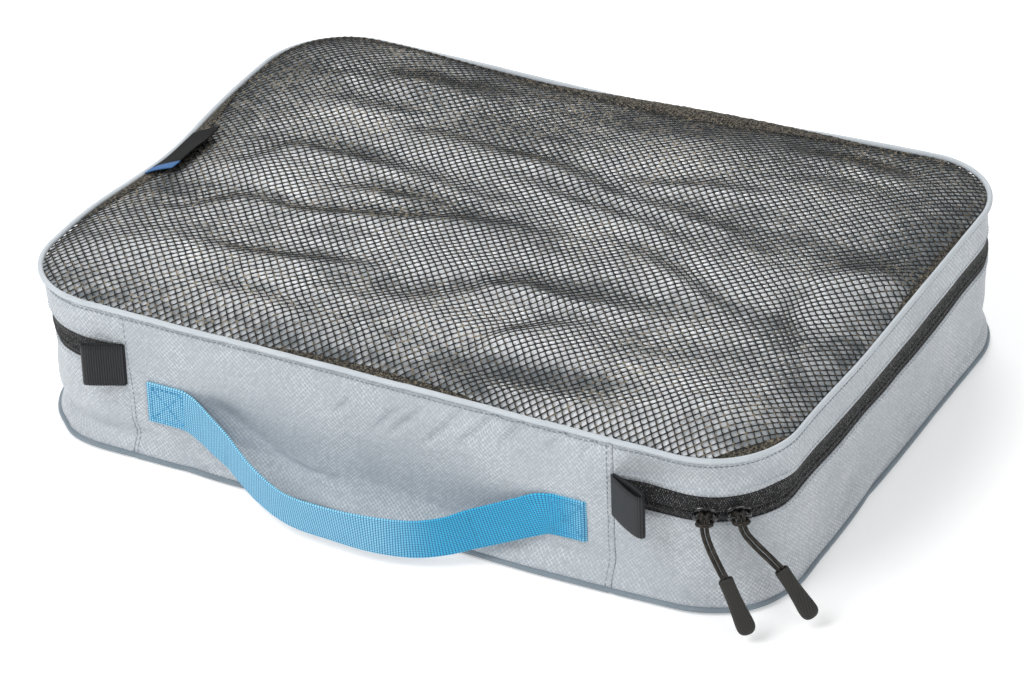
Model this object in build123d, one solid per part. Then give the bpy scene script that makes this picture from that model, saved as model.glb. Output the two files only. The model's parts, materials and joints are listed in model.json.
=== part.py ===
from build123d import *
from math import atan, cos, degrees, pi, radians, sin, tan
import os

# Soft-sided packing cube: a fabric tray, a net-topped lid sewn on along the front, a zip round the
# other three sides, a webbing handle, two grab loops, two zip sliders with cord pulls and a tag.
# Millimetres. +X runs along the length, -Y points out of the handle side, +Z is up, and the origin
# is the centre of the flat underside.

# ---------------------------------------------------------------- driving dimensions
LENGTH = 440.0
DEPTH = 325.0
HEIGHT = 90.0
CORNER_RADIUS = 50.0

FABRIC = 1.0
FILM = 0.6
NET = 0.8
CROWN_RISE = 7.0
CROWN_WIDTH = 42.0
CROWN_SKIRT = 20.0
SEWN_GAP = 0.05

PIPING_RADIUS = 1.9
PIPING_BORE_RADIUS = 1.1
PIPING_CORE_RADIUS = 1.05
BOTTOM_PIPING_LIFT = 0.3

LEFT_SEAM_X = -147.0
RIGHT_SEAM_X = 135.0
SEAM_CLEARANCE = 0.3

ZIP_CENTRE_Z = 60.0
ZIP_HALF_GAP = 0.6
TAPE_BELOW = 5.5
TAPE_ABOVE = 8.8
COIL_DEPTH = 2.0
COIL_HEIGHT = 2.8

BINDING = 0.6
BINDING_HEIGHT = 5.0

WEBBING_WIDTH = 25.0
WEBBING = 1.5
HANDLE_LEFT_OUTER_X = -140.0
HANDLE_LEFT_INNER_X = -116.0
HANDLE_RIGHT_INNER_X = 97.0
HANDLE_RIGHT_OUTER_X = 120.0
HANDLE_LEFT_Z = 39.5
HANDLE_RIGHT_Z = 37.5

TAB_WIDTH = 25.0
TAB_PLY = 1.0
LEFT_TAB_GAP = 0.6
LEFT_TAB_LENGTH = 23.5
LEFT_TAB_Z = 58.5
LEFT_TAB_ANGLE = 22.0
RIGHT_TAB_GAP = 3.4
RIGHT_TAB_LENGTH = 27.0
RIGHT_TAB_Z = 61.0
RIGHT_TAB_ANGLE = 28.5
LEFT_TAB_ROOT_X = LEFT_SEAM_X - 7.5
RIGHT_TAB_ROOT_X = RIGHT_SEAM_X + 1.0
TAB_STAND_OFF = 0.4

SLIDER_A_ANGLE = -70.0
SLIDER_B_ANGLE = -50.0
SLIDER_HALF_LENGTH = 6.4
SLIDER_PLATE = 1.8
SLIDER_CLEARANCE = 0.3
SLIDER_OVERLAP = 0.2
SLIDER_CORNER = 1.5
SLIDER_BOTTOM_Z = 55.5
SLIDER_TOP_Z = 65.0
BRIDGE_BAR_RADIUS = 0.8
BRIDGE_STAND_OFF = 3.7
BRIDGE_LEG = 1.2
BRIDGE_LEG_HEIGHT = 3.2
BRIDGE_Z = 60.5

CORD_RADIUS = 1.1
WIDEST_ARC = 60.0
PULL_LEAN = 19.5
# The grip's slices, from the cord's end down, as (distance, width, thickness, corner radius).
GRIP_SECTIONS = [
    (0.0, 7.4, 5.0, 1.6), (10.5, 7.8, 5.4, 2.0), (24.0, 9.6, 6.0, 2.4),
    (29.0, 9.2, 5.6, 2.4), (31.0, 5.8, 3.4, 1.4),
]

LABEL_LENGTH = 51.0
LABEL_WIDTH = 15.0
LABEL_THICKNESS = 0.8
LABEL_CENTRE_Y = -3.5
LABEL_LIFT = 0.4
LABEL_INSET = 0.5

# Each pull's cord as (towards the front, outward, up) from its bridge bar. Both ends are in the
# grip. It goes up in front of the bar, over it, down behind, forward underneath and across in
# front of its own two tails, which is the hitch that holds it.
PULL_A_ROUTE = [
    (-10.2, 2.2, -31.0), (-4.1, 2.2, -20.0), (1.2, 2.2, -7.15), (1.2, 2.2, 2.3),
    (2.4, -2.2, 2.3), (3.5, -2.2, -2.3), (3.8, 4.8, -2.3),
    (-3.8, 4.8, -2.3), (-3.5, -2.2, -2.3), (-2.4, -2.2, 2.3),
    (-1.2, 2.2, 2.3), (-1.2, 2.2, -6.85), (-6.3, 2.2, -19.2), (-12.3, 2.2, -30.05),
]
PULL_B_ROUTE = [
    (-16.9, 2.2, -30.6), (-7.3, 2.2, -18.9), (1.2, 2.2, -7.2), (1.2, 2.2, 2.3),
    (2.4, -2.2, 2.3), (3.5, -2.2, -2.3), (3.8, 4.8, -2.3),
    (-3.8, 4.8, -2.3), (-3.5, -2.2, -2.3), (-2.4, -2.2, 2.3),
    (-1.2, 2.2, 2.3), (-1.2, 2.2, -6.8), (-9.5, 2.2, -17.6), (-18.95, 2.2, -29.55),
]

# The webbing handle's centre line, as (x, distance from the front face, z), between its two ends.
STRAP_STATIONS = [
    (-84.0, 14.6, 34.6), (-74.0, 19.2, 32.2), (-62.0, 24.6, 29.0), (-40.0, 32.5, 24.0),
    (-15.0, 36.5, 20.8), (10.0, 36.0, 19.3), (32.0, 30.5, 19.8), (48.0, 22.8, 22.2),
    (60.0, 15.6, 25.2),
]

# ---------------------------------------------------------------- worked-out places
WALL_INSET = 2 * PIPING_RADIUS + SEWN_GAP
INNER_INSET = WALL_INSET + FABRIC
FRONT_FACE_Y = -DEPTH / 2 + WALL_INSET
CORNER_X = LENGTH / 2 - CORNER_RADIUS
CORNER_Y = DEPTH / 2 - CORNER_RADIUS
WALL_RADIUS = CORNER_RADIUS - WALL_INSET
TOP_PIPING_Z = HEIGHT - PIPING_RADIUS
LID_RIM_Z = TOP_PIPING_Z - 0.1
FRONT_PANEL_TOP_Z = LID_RIM_Z - 0.4
LOWER_TAPE_Z = (ZIP_CENTRE_Z - TAPE_BELOW, ZIP_CENTRE_Z - ZIP_HALF_GAP)
UPPER_TAPE_Z = (ZIP_CENTRE_Z + ZIP_HALF_GAP, ZIP_CENTRE_Z + TAPE_ABOVE)
BRIDGE_RADIUS = WALL_RADIUS + SLIDER_CLEARANCE + SLIDER_PLATE + BRIDGE_STAND_OFF

os.makedirs("parts", exist_ok=True)


def save(node, solid):
    """Write one node to its own file."""
    export_step(solid, f"parts/{node}.step")


# ---------------------------------------------------------------- shared shapes
def outline(inset):
    """The cube's rounded outline, drawn in by the given distance."""
    radius = CORNER_RADIUS - inset
    return RectangleRounded(LENGTH - 2 * inset, DEPTH - 2 * inset, radius)


def slab(inset, bottom, top):
    """A flat solid filling the outline between two heights."""
    return extrude(Pos(0, 0, bottom) * outline(inset), top - bottom)


def ring(outer_inset, inner_inset, bottom, top):
    """An upright band all round the outline."""
    band = outline(outer_inset) - outline(inner_inset)
    return extrude(Pos(0, 0, bottom) * band, top - bottom)


def front_window():
    """A block over the front panel's stretch of the outline, a little wider than the panel."""
    left = LEFT_SEAM_X - SEAM_CLEARANCE
    right = RIGHT_SEAM_X + SEAM_CLEARANCE
    middle = ((left + right) / 2, -DEPTH / 2, HEIGHT / 2)
    return Pos(*middle) * Box(right - left, CORNER_RADIUS, 2 * HEIGHT)


def side_band(outer_inset, inner_inset, bottom, top):
    """A band from one front seam, round the sides and back, to the other front seam."""
    return ring(outer_inset, inner_inset, bottom, top) - front_window()


def piping_tube(centre_z, radius):
    """A round cord along the whole outline, its outside on the cube's outermost line."""
    inset = PIPING_RADIUS
    path = Pos(0, 0, centre_z) * outline(inset).face().outer_wire()
    start = path.edges().sort_by(Axis.Y)[0] @ 0.5
    section = Plane(origin=start, x_dir=(0, 1, 0), z_dir=(1, 0, 0)) * Circle(radius)
    return sweep(section, path=path)


def rolled_piping(centre_z):
    """A piping tube with the bore that its cord runs in."""
    return piping_tube(centre_z, PIPING_RADIUS) - piping_tube(centre_z, PIPING_BORE_RADIUS)


def crowned_block(rim_z):
    """The solid under the lid's skin: an upright rim, a sloping border and a flat middle."""
    skirt = slab(WALL_INSET, rim_z - CROWN_SKIRT, rim_z)
    rim = Pos(0, 0, rim_z) * outline(WALL_INSET)
    top = Pos(0, 0, rim_z + CROWN_RISE) * outline(WALL_INSET + CROWN_WIDTH)
    return skirt + loft([rim.face(), top.face()], ruled=True)


def crowned_skin(rim_z, thickness):
    """One layer of the lid's top, following the crown."""
    return crowned_block(rim_z + thickness) - crowned_block(rim_z)


# ---------------------------------------------------------------- tray
def make_tray():
    """The base panel, the walls below the zip and the full-height front panel."""
    save("base_panel", slab(WALL_INSET, 0, FABRIC))
    save("base_gusset", side_band(WALL_INSET, INNER_INSET, FABRIC, LOWER_TAPE_Z[0]))
    panel_height = FRONT_PANEL_TOP_Z - FABRIC
    panel_width = RIGHT_SEAM_X - LEFT_SEAM_X
    middle_x = (LEFT_SEAM_X + RIGHT_SEAM_X) / 2
    place = Pos(middle_x, FRONT_FACE_Y + FABRIC / 2, FABRIC + panel_height / 2)
    save("front_panel", place * Box(panel_width, FABRIC, panel_height))
    binding_outer = INNER_INSET + SEWN_GAP
    binding_bottom = FABRIC + SEWN_GAP
    binding_top = binding_bottom + BINDING_HEIGHT
    binding = ring(binding_outer, binding_outer + BINDING, binding_bottom, binding_top)
    save("bottom_seam_binding", binding)
    piping_z = BOTTOM_PIPING_LIFT + PIPING_RADIUS
    save("bottom_piping", rolled_piping(piping_z))
    save("bottom_piping_core", piping_tube(piping_z, PIPING_CORE_RADIUS))


# ---------------------------------------------------------------- lid
def make_lid():
    """The film, the net over it, the walls above the zip and the top edge's piping."""
    save("laminate_film", crowned_skin(LID_RIM_Z, FILM))
    save("net_panel", crowned_skin(LID_RIM_Z + FILM + SEWN_GAP, NET))
    save("lid_gusset", side_band(WALL_INSET, INNER_INSET, UPPER_TAPE_Z[1], LID_RIM_Z))
    binding_outer = INNER_INSET + SEWN_GAP
    binding_top = LID_RIM_Z - SEWN_GAP
    binding_bottom = binding_top - BINDING_HEIGHT
    binding_inner = binding_outer + BINDING
    binding = side_band(binding_outer, binding_inner, binding_bottom, binding_top)
    save("top_seam_binding", binding)
    save("top_piping", rolled_piping(TOP_PIPING_Z))
    save("top_piping_core", piping_tube(TOP_PIPING_Z, PIPING_CORE_RADIUS))


# ---------------------------------------------------------------- zip
def make_zip():
    """The two tapes, with the coils on their inner faces, either side of the centre gap."""
    save("zip_tape_lower", side_band(WALL_INSET, INNER_INSET, *LOWER_TAPE_Z))
    save("zip_tape_upper", side_band(WALL_INSET, INNER_INSET, *UPPER_TAPE_Z))
    coil_inset = INNER_INSET + COIL_DEPTH
    lower_edge = LOWER_TAPE_Z[1]
    upper_edge = UPPER_TAPE_Z[0]
    lower_coil = side_band(INNER_INSET, coil_inset, lower_edge - COIL_HEIGHT, lower_edge)
    upper_coil = side_band(INNER_INSET, coil_inset, upper_edge, upper_edge + COIL_HEIGHT)
    save("zip_coil_lower", lower_coil)
    save("zip_coil_upper", upper_coil)


def corner_sector(inner_radius, outer_radius, half_length, bottom, top, angle):
    """A block bent round the near right corner, centred on an angle about the corner's axis."""
    half_angle = degrees(half_length / outer_radius)
    centre = (CORNER_X, -CORNER_Y)
    start = angle - half_angle
    outer = CenterArc(centre, outer_radius, start, 2 * half_angle)
    inner = CenterArc(centre, inner_radius, start, 2 * half_angle)
    first_side = Line(outer @ 0, inner @ 0)
    second_side = Line(outer @ 1, inner @ 1)
    face = make_face([outer, second_side, inner, first_side])
    return extrude(Pos(0, 0, bottom) * face, top - bottom)


def corner_frame(angle, radius, height):
    """A place on the corner with x along the zip to the front, y outward and z up."""
    outward = Vector(cos(radians(angle)), sin(radians(angle)), 0)
    origin = Vector(CORNER_X, -CORNER_Y, height) + outward * radius
    to_front = Vector(outward.Y, -outward.X, 0)
    return Location(Plane(origin=origin, x_dir=to_front, z_dir=Vector(0, 0, 1)))


def slider(angle):
    """A zip slider: outer plate, neck through the zip, inner plate and the bridge for its pull."""
    plate_inner = WALL_RADIUS + SLIDER_CLEARANCE
    plate_outer = plate_inner + SLIDER_PLATE
    back_outer = WALL_RADIUS - FABRIC - COIL_DEPTH - SLIDER_CLEARANCE
    back_inner = back_outer - SLIDER_PLATE
    neck_half_height = ZIP_HALF_GAP - SLIDER_CLEARANCE
    neck_top = ZIP_CENTRE_Z + neck_half_height
    neck_bottom = ZIP_CENTRE_Z - neck_half_height
    neck_half_length = SLIDER_HALF_LENGTH / 2
    plate = corner_sector(
        plate_inner, plate_outer, SLIDER_HALF_LENGTH, SLIDER_BOTTOM_Z, SLIDER_TOP_Z, angle
    )
    corner_edges = plate.edges().filter_by(GeomType.LINE).filter_by(
        lambda edge: edge.length < 2 * SLIDER_PLATE
    )
    plate = fillet(corner_edges, SLIDER_CORNER)
    back = corner_sector(
        back_inner, back_outer, SLIDER_HALF_LENGTH, SLIDER_BOTTOM_Z, neck_top, angle
    )
    neck_inner = back_outer - SLIDER_OVERLAP
    neck_outer = plate_inner + SLIDER_OVERLAP
    neck = corner_sector(
        neck_inner, neck_outer, neck_half_length, neck_bottom, neck_top, angle
    )
    return plate + back + neck + bridge(angle, plate_outer)


def bridge(angle, plate_outer):
    """The slider's bridge: two legs and the round bar that the pull's cord is hitched to."""
    frame = corner_frame(angle, BRIDGE_RADIUS, BRIDGE_Z)
    reach = BRIDGE_RADIUS - plate_outer + 3 * SLIDER_OVERLAP
    leg_top = BRIDGE_BAR_RADIUS + SLIDER_OVERLAP
    leg_depth = reach + leg_top
    leg_middle = (leg_top - reach) / 2
    leg_x = SLIDER_HALF_LENGTH - BRIDGE_LEG / 2
    solid = frame * (Rot(0, 90, 0) * Cylinder(BRIDGE_BAR_RADIUS, 2 * leg_x))
    for side in (-1, 1):
        leg = Box(BRIDGE_LEG, leg_depth, BRIDGE_LEG_HEIGHT)
        solid += frame * (Pos(side * leg_x, leg_middle, 0) * leg)
    return solid


def pull_frame(angle):
    """A pull's own place: its bridge bar, tipped outward by the lean it hangs at."""
    return corner_frame(angle, BRIDGE_RADIUS, BRIDGE_Z) * Rot(PULL_LEAN, 0, 0)


def corner_radii(points):
    """Each corner's arc, as large as its two runs allow."""
    radii = []
    for before, corner, after in zip(points, points[1:], points[2:]):
        turn = (corner - before).get_angle(after - corner)
        shorter = min((corner - before).length, (after - corner).length)
        radii.append(min(WIDEST_ARC, 0.45 * shorter / tan(radians(turn / 2))))
    return radii


def pull_cord(route, angle):
    """A pull's cord, hitched on its bridge bar."""
    points = [Vector(*point) for point in route]
    radii = corner_radii(points)
    print("pull cord arcs", [round(radius, 2) for radius in radii])
    path = FilletPolyline(*points, radius=radii)
    section = Plane(origin=path @ 0, z_dir=path % 0) * Circle(CORD_RADIUS)
    solid = sweep(section, path=path)
    expected = pi * CORD_RADIUS**2 * path.length
    print("pull cord", round(path.length, 1), "mm, volume", round(solid.volume / expected, 4))
    return pull_frame(angle) * solid


def pull_grip(route, angle):
    """The moulded grip that both cord ends go into, flaring to a rounded foot."""
    first, last = Vector(*route[0]), Vector(*route[-1])
    top = (first + last) / 2
    across = (last - first).normalized()
    down = Vector(-across.Z, 0, across.X)
    sections = []
    for distance, width, thickness, corner in GRIP_SECTIONS:
        plane = Plane(origin=top + down * (distance + SEWN_GAP), x_dir=across, z_dir=down)
        sections.append((plane * RectangleRounded(width, thickness, corner)).face())
    return pull_frame(angle) * loft(sections, ruled=True)


def make_sliders():
    """Both sliders with their pulls."""
    for letter, angle, route in (
        ("a", SLIDER_A_ANGLE, PULL_A_ROUTE), ("b", SLIDER_B_ANGLE, PULL_B_ROUTE),
    ):
        save(f"slider_{letter}", slider(angle))
        save(f"pull_cord_{letter}", pull_cord(route, angle))
        save(f"pull_grip_{letter}", pull_grip(route, angle))


# ---------------------------------------------------------------- handle
def webbing_station(x, stand_off, z, direction):
    """An upright slice of the strap at one point of its centre line, facing along it."""
    origin = Vector(x, FRONT_FACE_Y - stand_off, z)
    plane = Plane(origin=origin, x_dir=(0, 0, 1), z_dir=(direction.X, direction.Y, 0))
    return (plane * Rectangle(WEBBING_WIDTH, WEBBING)).face()


def make_handle():
    """The strap that stands off the front face, and its two ends sewn flat to it."""
    points = [Vector(x, -stand_off, z) for x, stand_off, z in STRAP_STATIONS]
    sections = []
    for i, (x, stand_off, z) in enumerate(STRAP_STATIONS):
        before = points[max(i - 1, 0)]
        after = points[min(i + 1, len(points) - 1)]
        sections.append(webbing_station(x, stand_off, z, after - before))
    save("handle_strap", loft(sections, ruled=True))
    for side, left, right, z in (
        ("left", HANDLE_LEFT_OUTER_X, HANDLE_LEFT_INNER_X, HANDLE_LEFT_Z),
        ("right", HANDLE_RIGHT_INNER_X, HANDLE_RIGHT_OUTER_X, HANDLE_RIGHT_Z),
    ):
        place = Pos((left + right) / 2, FRONT_FACE_Y - WEBBING / 2, z)
        save(f"handle_end_{side}", place * Box(right - left, WEBBING, WEBBING_WIDTH))


# ---------------------------------------------------------------- grab loops
def grab_loop(length, gap):
    """A folded loop of ribbon seen from above: it leaves its seam along +X and comes back."""
    inner = gap / 2
    outer = inner + TAB_PLY
    straight = length - outer
    slot = SlotOverall(2 * straight + 2 * outer, 2 * outer) - SlotOverall(
        2 * straight + 2 * inner, 2 * inner
    )
    beyond_seam = Pos(length / 2, 0) * Rectangle(length, 4 * outer)
    return extrude(slot & beyond_seam, TAB_WIDTH / 2, both=True)


def make_grab_loops():
    """The loops over the ends of the zip, each standing out from the wall by its own angle."""
    half_width = LEFT_TAB_GAP / 2 + TAB_PLY
    root_y = FRONT_FACE_Y - TAB_STAND_OFF - half_width * cos(radians(LEFT_TAB_ANGLE))
    left = Pos(LEFT_TAB_ROOT_X, root_y, LEFT_TAB_Z) * Rot(0, 0, 180 + LEFT_TAB_ANGLE)
    save("tab_left", left * grab_loop(LEFT_TAB_LENGTH, LEFT_TAB_GAP))
    half_width = RIGHT_TAB_GAP / 2 + TAB_PLY
    root_y = FRONT_FACE_Y - TAB_STAND_OFF - half_width * cos(radians(RIGHT_TAB_ANGLE))
    right = Pos(RIGHT_TAB_ROOT_X, root_y, RIGHT_TAB_Z) * Rot(0, 0, -RIGHT_TAB_ANGLE)
    save("tab_right", right * grab_loop(RIGHT_TAB_LENGTH, RIGHT_TAB_GAP))


# ---------------------------------------------------------------- tag
def make_label():
    """The woven tag sewn into the left top seam, lying on the net's slope."""
    slope = degrees(atan(CROWN_RISE / CROWN_WIDTH))
    net_top = LID_RIM_Z + FILM + SEWN_GAP + NET
    start_x = -LENGTH / 2 + WALL_INSET + LABEL_INSET
    place = Pos(start_x, LABEL_CENTRE_Y, net_top + LABEL_LIFT) * Rot(0, -slope, 0)
    plate = Pos(LABEL_WIDTH / 2, 0, LABEL_THICKNESS / 2)
    save("side_label", place * (plate * Box(LABEL_WIDTH, LABEL_LENGTH, LABEL_THICKNESS)))


make_tray()
make_lid()
make_zip()
make_sliders()
make_handle()
make_grab_loops()
make_label()
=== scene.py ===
"""The packing cube's looks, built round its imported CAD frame. Everything is in metres."""

import json
import math

import bpy
import numpy as np
from mathutils import Matrix, Vector, noise


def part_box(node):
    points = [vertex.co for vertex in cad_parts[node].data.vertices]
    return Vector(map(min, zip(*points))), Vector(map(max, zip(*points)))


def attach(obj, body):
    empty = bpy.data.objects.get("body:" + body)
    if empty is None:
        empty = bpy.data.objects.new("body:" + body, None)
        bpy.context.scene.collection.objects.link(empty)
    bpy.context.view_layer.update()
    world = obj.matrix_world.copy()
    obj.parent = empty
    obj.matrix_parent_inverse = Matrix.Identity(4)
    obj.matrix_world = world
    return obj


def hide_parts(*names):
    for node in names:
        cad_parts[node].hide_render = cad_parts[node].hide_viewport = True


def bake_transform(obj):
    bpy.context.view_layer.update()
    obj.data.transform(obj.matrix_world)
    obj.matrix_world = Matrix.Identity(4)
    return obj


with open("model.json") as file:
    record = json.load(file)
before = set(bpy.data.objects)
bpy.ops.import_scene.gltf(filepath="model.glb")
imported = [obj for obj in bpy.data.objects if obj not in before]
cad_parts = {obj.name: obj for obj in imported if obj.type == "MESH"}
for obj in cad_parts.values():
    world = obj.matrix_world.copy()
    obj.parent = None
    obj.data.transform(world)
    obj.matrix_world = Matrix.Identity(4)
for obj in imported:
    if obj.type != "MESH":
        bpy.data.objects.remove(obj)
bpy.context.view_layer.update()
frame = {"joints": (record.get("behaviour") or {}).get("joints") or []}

MM = 0.001

# ------------------------------------------------------------------ places from the frame
PIPING_LOW, PIPING_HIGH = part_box("top_piping")
HALF_X = PIPING_HIGH.x
HALF_Y = PIPING_HIGH.y
CORNER = 50 * MM
PIPING_RADIUS = (PIPING_HIGH.z - PIPING_LOW.z) / 2
TOP_PIPING_Z = (PIPING_HIGH.z + PIPING_LOW.z) / 2
BOTTOM_PIPING_Z = (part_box("bottom_piping")[0].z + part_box("bottom_piping")[1].z) / 2
WALL_INSET = HALF_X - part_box("base_gusset")[1].x
WALL_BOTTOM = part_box("base_gusset")[0].z
# The soft panel's left seam lies a little outside the flat panel's edge.
LEFT_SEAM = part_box("front_panel")[0].x - 4.5 * MM
RIGHT_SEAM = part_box("front_panel")[1].x
FRONT_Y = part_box("front_panel")[0].y
PANEL_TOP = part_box("front_panel")[1].z
LOWER_TAPE_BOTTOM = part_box("zip_tape_lower")[0].z
UPPER_TAPE_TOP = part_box("zip_tape_upper")[1].z
ZIP_Z = (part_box("zip_tape_lower")[1].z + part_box("zip_tape_upper")[0].z) / 2
FILM_RIM_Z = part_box("laminate_film")[0].z
CROWN_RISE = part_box("laminate_film")[1].z - FILM_RIM_Z

RUN_X = 2 * (HALF_X - CORNER)
RUN_Y = 2 * (HALF_Y - CORNER)
ARC = math.pi / 2 * CORNER
PERIMETER = 2 * (RUN_X + RUN_Y) + 4 * ARC
BAND_START = RIGHT_SEAM + RUN_X / 2
BAND_END = LEFT_SEAM + RUN_X / 2 + PERIMETER

# The stretch of cloth that bends when the lid opens.
LID_ROLL = "lid roll"


# ------------------------------------------------------------------ shader helpers
class Shader:
    """A material with one Principled shader, and short calls for its pattern nodes.

    place is the point on the piece, and along and up are its place on the flat cloth, in metres.
    """

    def __init__(self, name, colour, roughness, cloth="cloth", **sockets):
        self.material = bpy.data.materials.new(name)
        self.material.use_nodes = True
        self.tree = self.material.node_tree
        self.inputs = self.tree.nodes["Principled BSDF"].inputs
        self.inputs["Base Color"].default_value = (*colour, 1)
        self.inputs["Roughness"].default_value = roughness
        for socket, value in sockets.items():
            self.inputs[socket.replace("_", " ")].default_value = value
        self.place = self.node("ShaderNodeTexCoord").outputs["Object"]
        split = self.node("ShaderNodeSeparateXYZ")
        self.feed(self.node("ShaderNodeUVMap", uv_map=cloth).outputs[0], split.inputs[0])
        self.along, self.up = split.outputs[0], split.outputs[1]

    def node(self, kind, **settings):
        made = self.tree.nodes.new(kind)
        for key, value in settings.items():
            setattr(made, key, value)
        return made

    def feed(self, value, socket):
        """Link an output, or set a plain number or colour."""
        if isinstance(value, bpy.types.NodeSocket):
            self.tree.links.new(value, socket)
        elif isinstance(value, tuple):
            socket.default_value = (*value, 1)
        else:
            socket.default_value = value

    def math(self, operation, first, second):
        made = self.node("ShaderNodeMath", operation=operation)
        self.feed(first, made.inputs[0])
        self.feed(second, made.inputs[1])
        return made.outputs[0]

    def times(self, first, second):
        return self.math("MULTIPLY", first, second)

    def plus(self, first, second):
        return self.math("ADD", first, second)

    def remap(self, value, low, high, out_low=0.0, out_high=1.0):
        made = self.node("ShaderNodeMapRange", interpolation_type="SMOOTHSTEP")
        for socket, number in zip(("Value", "From Min", "From Max", "To Min", "To Max"),
                                  (value, low, high, out_low, out_high)):
            self.feed(number, made.inputs[socket])
        return made.outputs[0]

    def noise(self, scale, detail=2.0, roughness=0.5):
        made = self.node("ShaderNodeTexNoise")
        for socket, value in zip(("Vector", "Scale", "Detail", "Roughness"),
                                 (self.place, scale, detail, roughness)):
            self.feed(value, made.inputs[socket])
        return made.outputs[0]

    def stripes(self, angle, pitch):
        """A 0 to 0.5 triangle wave across lines at an angle, a pitch apart."""
        turned = self.plus(
            self.times(self.along, math.cos(angle) / pitch), self.times(self.up, math.sin(angle) / pitch)
        )
        return self.math("PINGPONG", turned, 0.5)

    def crossing(self, degrees, pitch, low, high):
        """Where two slanting sets of strands cross."""
        sets = [self.stripes(math.radians(turn), pitch) for turn in (degrees, -degrees)]
        return self.times(*(self.remap(one, low, high) for one in sets))

    def mix(self, share, first, second):
        made = self.node("ShaderNodeMix", data_type="RGBA")
        for socket, value in (("Factor", share), (6, first), (7, second)):
            self.feed(value, made.inputs[socket])
        return made.outputs[2]

    def colour(self, *share_and_colours):
        self.feed(self.mix(*share_and_colours), self.inputs["Base Color"])

    def roughness(self, value):
        self.feed(value, self.inputs["Roughness"])

    def bump(self, height, distance, strength=1.0, under=None):
        made = self.node("ShaderNodeBump")
        made.inputs["Distance"].default_value = distance
        made.inputs["Strength"].default_value = strength
        self.feed(height, made.inputs["Height"])
        if under is not None:
            self.feed(under, made.inputs["Normal"])
        self.feed(made.outputs[0], self.inputs["Normal"])
        return made.outputs[0]


def ripstop_material(name, base, thread, dark):
    """Coated ripstop: a fine weave with a lattice of paler diagonal threads."""
    shader = Shader(name, base, 0.5, Sheen_Weight=0.15, Sheen_Roughness=0.4)
    first = shader.stripes(math.radians(46), 1.8 * MM)
    second = shader.stripes(math.radians(-46), 1.8 * MM)
    dashes = shader.remap(shader.noise(420, 1), 0.36, 0.6, 0.3, 1.0)
    fainter = shader.times(shader.remap(second, 0.19, 0.06), 0.8)
    line = shader.math("MAXIMUM", shader.remap(first, 0.19, 0.06), fainter)
    broken = shader.times(line, dashes)
    blotch = shader.remap(shader.noise(22, 4, 0.62), 0.3, 0.75)
    patch = shader.remap(shader.noise(26, 2), 0.35, 0.65, 0.55, 1.0)
    grain = shader.noise(900, 2, 0.7)
    cloth = shader.mix(shader.times(blotch, 0.4), base, dark)
    cloth = shader.mix(shader.remap(grain, 0.32, 0.68, 0.0, 0.45), cloth, dark)
    shader.colour(shader.times(broken, patch), cloth, thread)
    shader.roughness(shader.remap(grain, 0.3, 0.7, 0.38, 0.6))
    soft = shader.bump(shader.noise(70, 4, 0.6), 1.8 * MM, 0.5)
    height = shader.plus(line, shader.times(grain, 0.6))
    shader.bump(height, 0.25 * MM, 0.9, soft)
    return shader.material


def twill_material(name, base, dark, pitch, roughness=0.65, angle=0.7):
    """A plain woven tape or cover with fine slanted ribs."""
    shader = Shader(name, base, roughness, Sheen_Weight=0.15)
    rib = shader.stripes(angle, pitch)
    cross = shader.stripes(angle - 1.5, pitch)
    weave = shader.plus(rib, shader.times(cross, 0.6))
    blotch = shader.noise(60, 2)
    share = shader.remap(shader.plus(weave, shader.times(blotch, 0.4)), 0.25, 0.95)
    shader.colour(share, dark, base)
    shader.bump(weave, 0.25 * MM, 0.6)
    return shader.material


def zip_tape_material():
    """Charcoal zip tape: the coil's chevrons show through along its middle, and fine ribs beside them."""
    shader = Shader("zip_tape", (0.03, 0.03, 0.031), 0.62, Specular_IOR_Level=0.25)
    weave = shader.crossing(38, 1.15 * MM, 0.05, 0.4)
    rib = shader.stripes(0.12, 0.62 * MM)
    speck = shader.remap(shader.noise(1100, 1), 0.42, 0.62)
    light = shader.times(shader.plus(weave, shader.times(rib, 0.5)), speck)
    shader.colour(shader.remap(light, 0.1, 0.9), (0.012, 0.012, 0.013), (0.16, 0.162, 0.166))
    shader.bump(light, 0.3 * MM, 0.7)
    return shader.material


def net_material():
    """Charcoal thread, browner in places where its filaments catch the light."""
    shader = Shader("net_thread", (0.03, 0.03, 0.028), 0.55, Specular_IOR_Level=0.3)
    brown = shader.remap(shader.noise(420, 1), 0.48, 0.7)
    patch = shader.remap(shader.noise(14, 2), 0.35, 0.7, 0.25, 1.0)
    share = shader.times(brown, patch)
    shader.colour(share, (0.014, 0.015, 0.0145), (0.34, 0.285, 0.20))
    shader.bump(shader.noise(2600, 1), 0.1 * MM, 0.5)
    return shader.material


def film_material():
    """The pale laminate under the net, glossy and finely crinkled. Its colour carries painted light and
    shade: painted shade in creases, by the piping and towards the back, painted light on the humps.
    """
    shader = Shader("laminate", (0.5, 0.52, 0.54), 0.24, Specular_IOR_Level=0.6)
    # Painted light and shade: the colour runs from a shaded grey to a lit near-white along the shade
    # attribute, with random grain added.
    shade = shader.node("ShaderNodeAttribute", attribute_name="shade").outputs["Fac"]
    grain = shader.times(shader.math("SUBTRACT", shader.noise(150, 2), 0.5), 0.9)
    share = shader.remap(shader.plus(shade, grain), -0.05, 0.8)
    shader.colour(share, (0.22, 0.25, 0.275), (0.90, 0.935, 0.97))
    shader.roughness(shader.remap(shader.noise(60, 2), 0.3, 0.7, 0.18, 0.42))
    broad = shader.bump(shader.noise(45, 3, 0.6), 2.0 * MM, 0.5)
    shader.bump(shader.noise(260, 2, 0.6), 0.5 * MM, 0.5, broad)
    return shader.material


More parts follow.
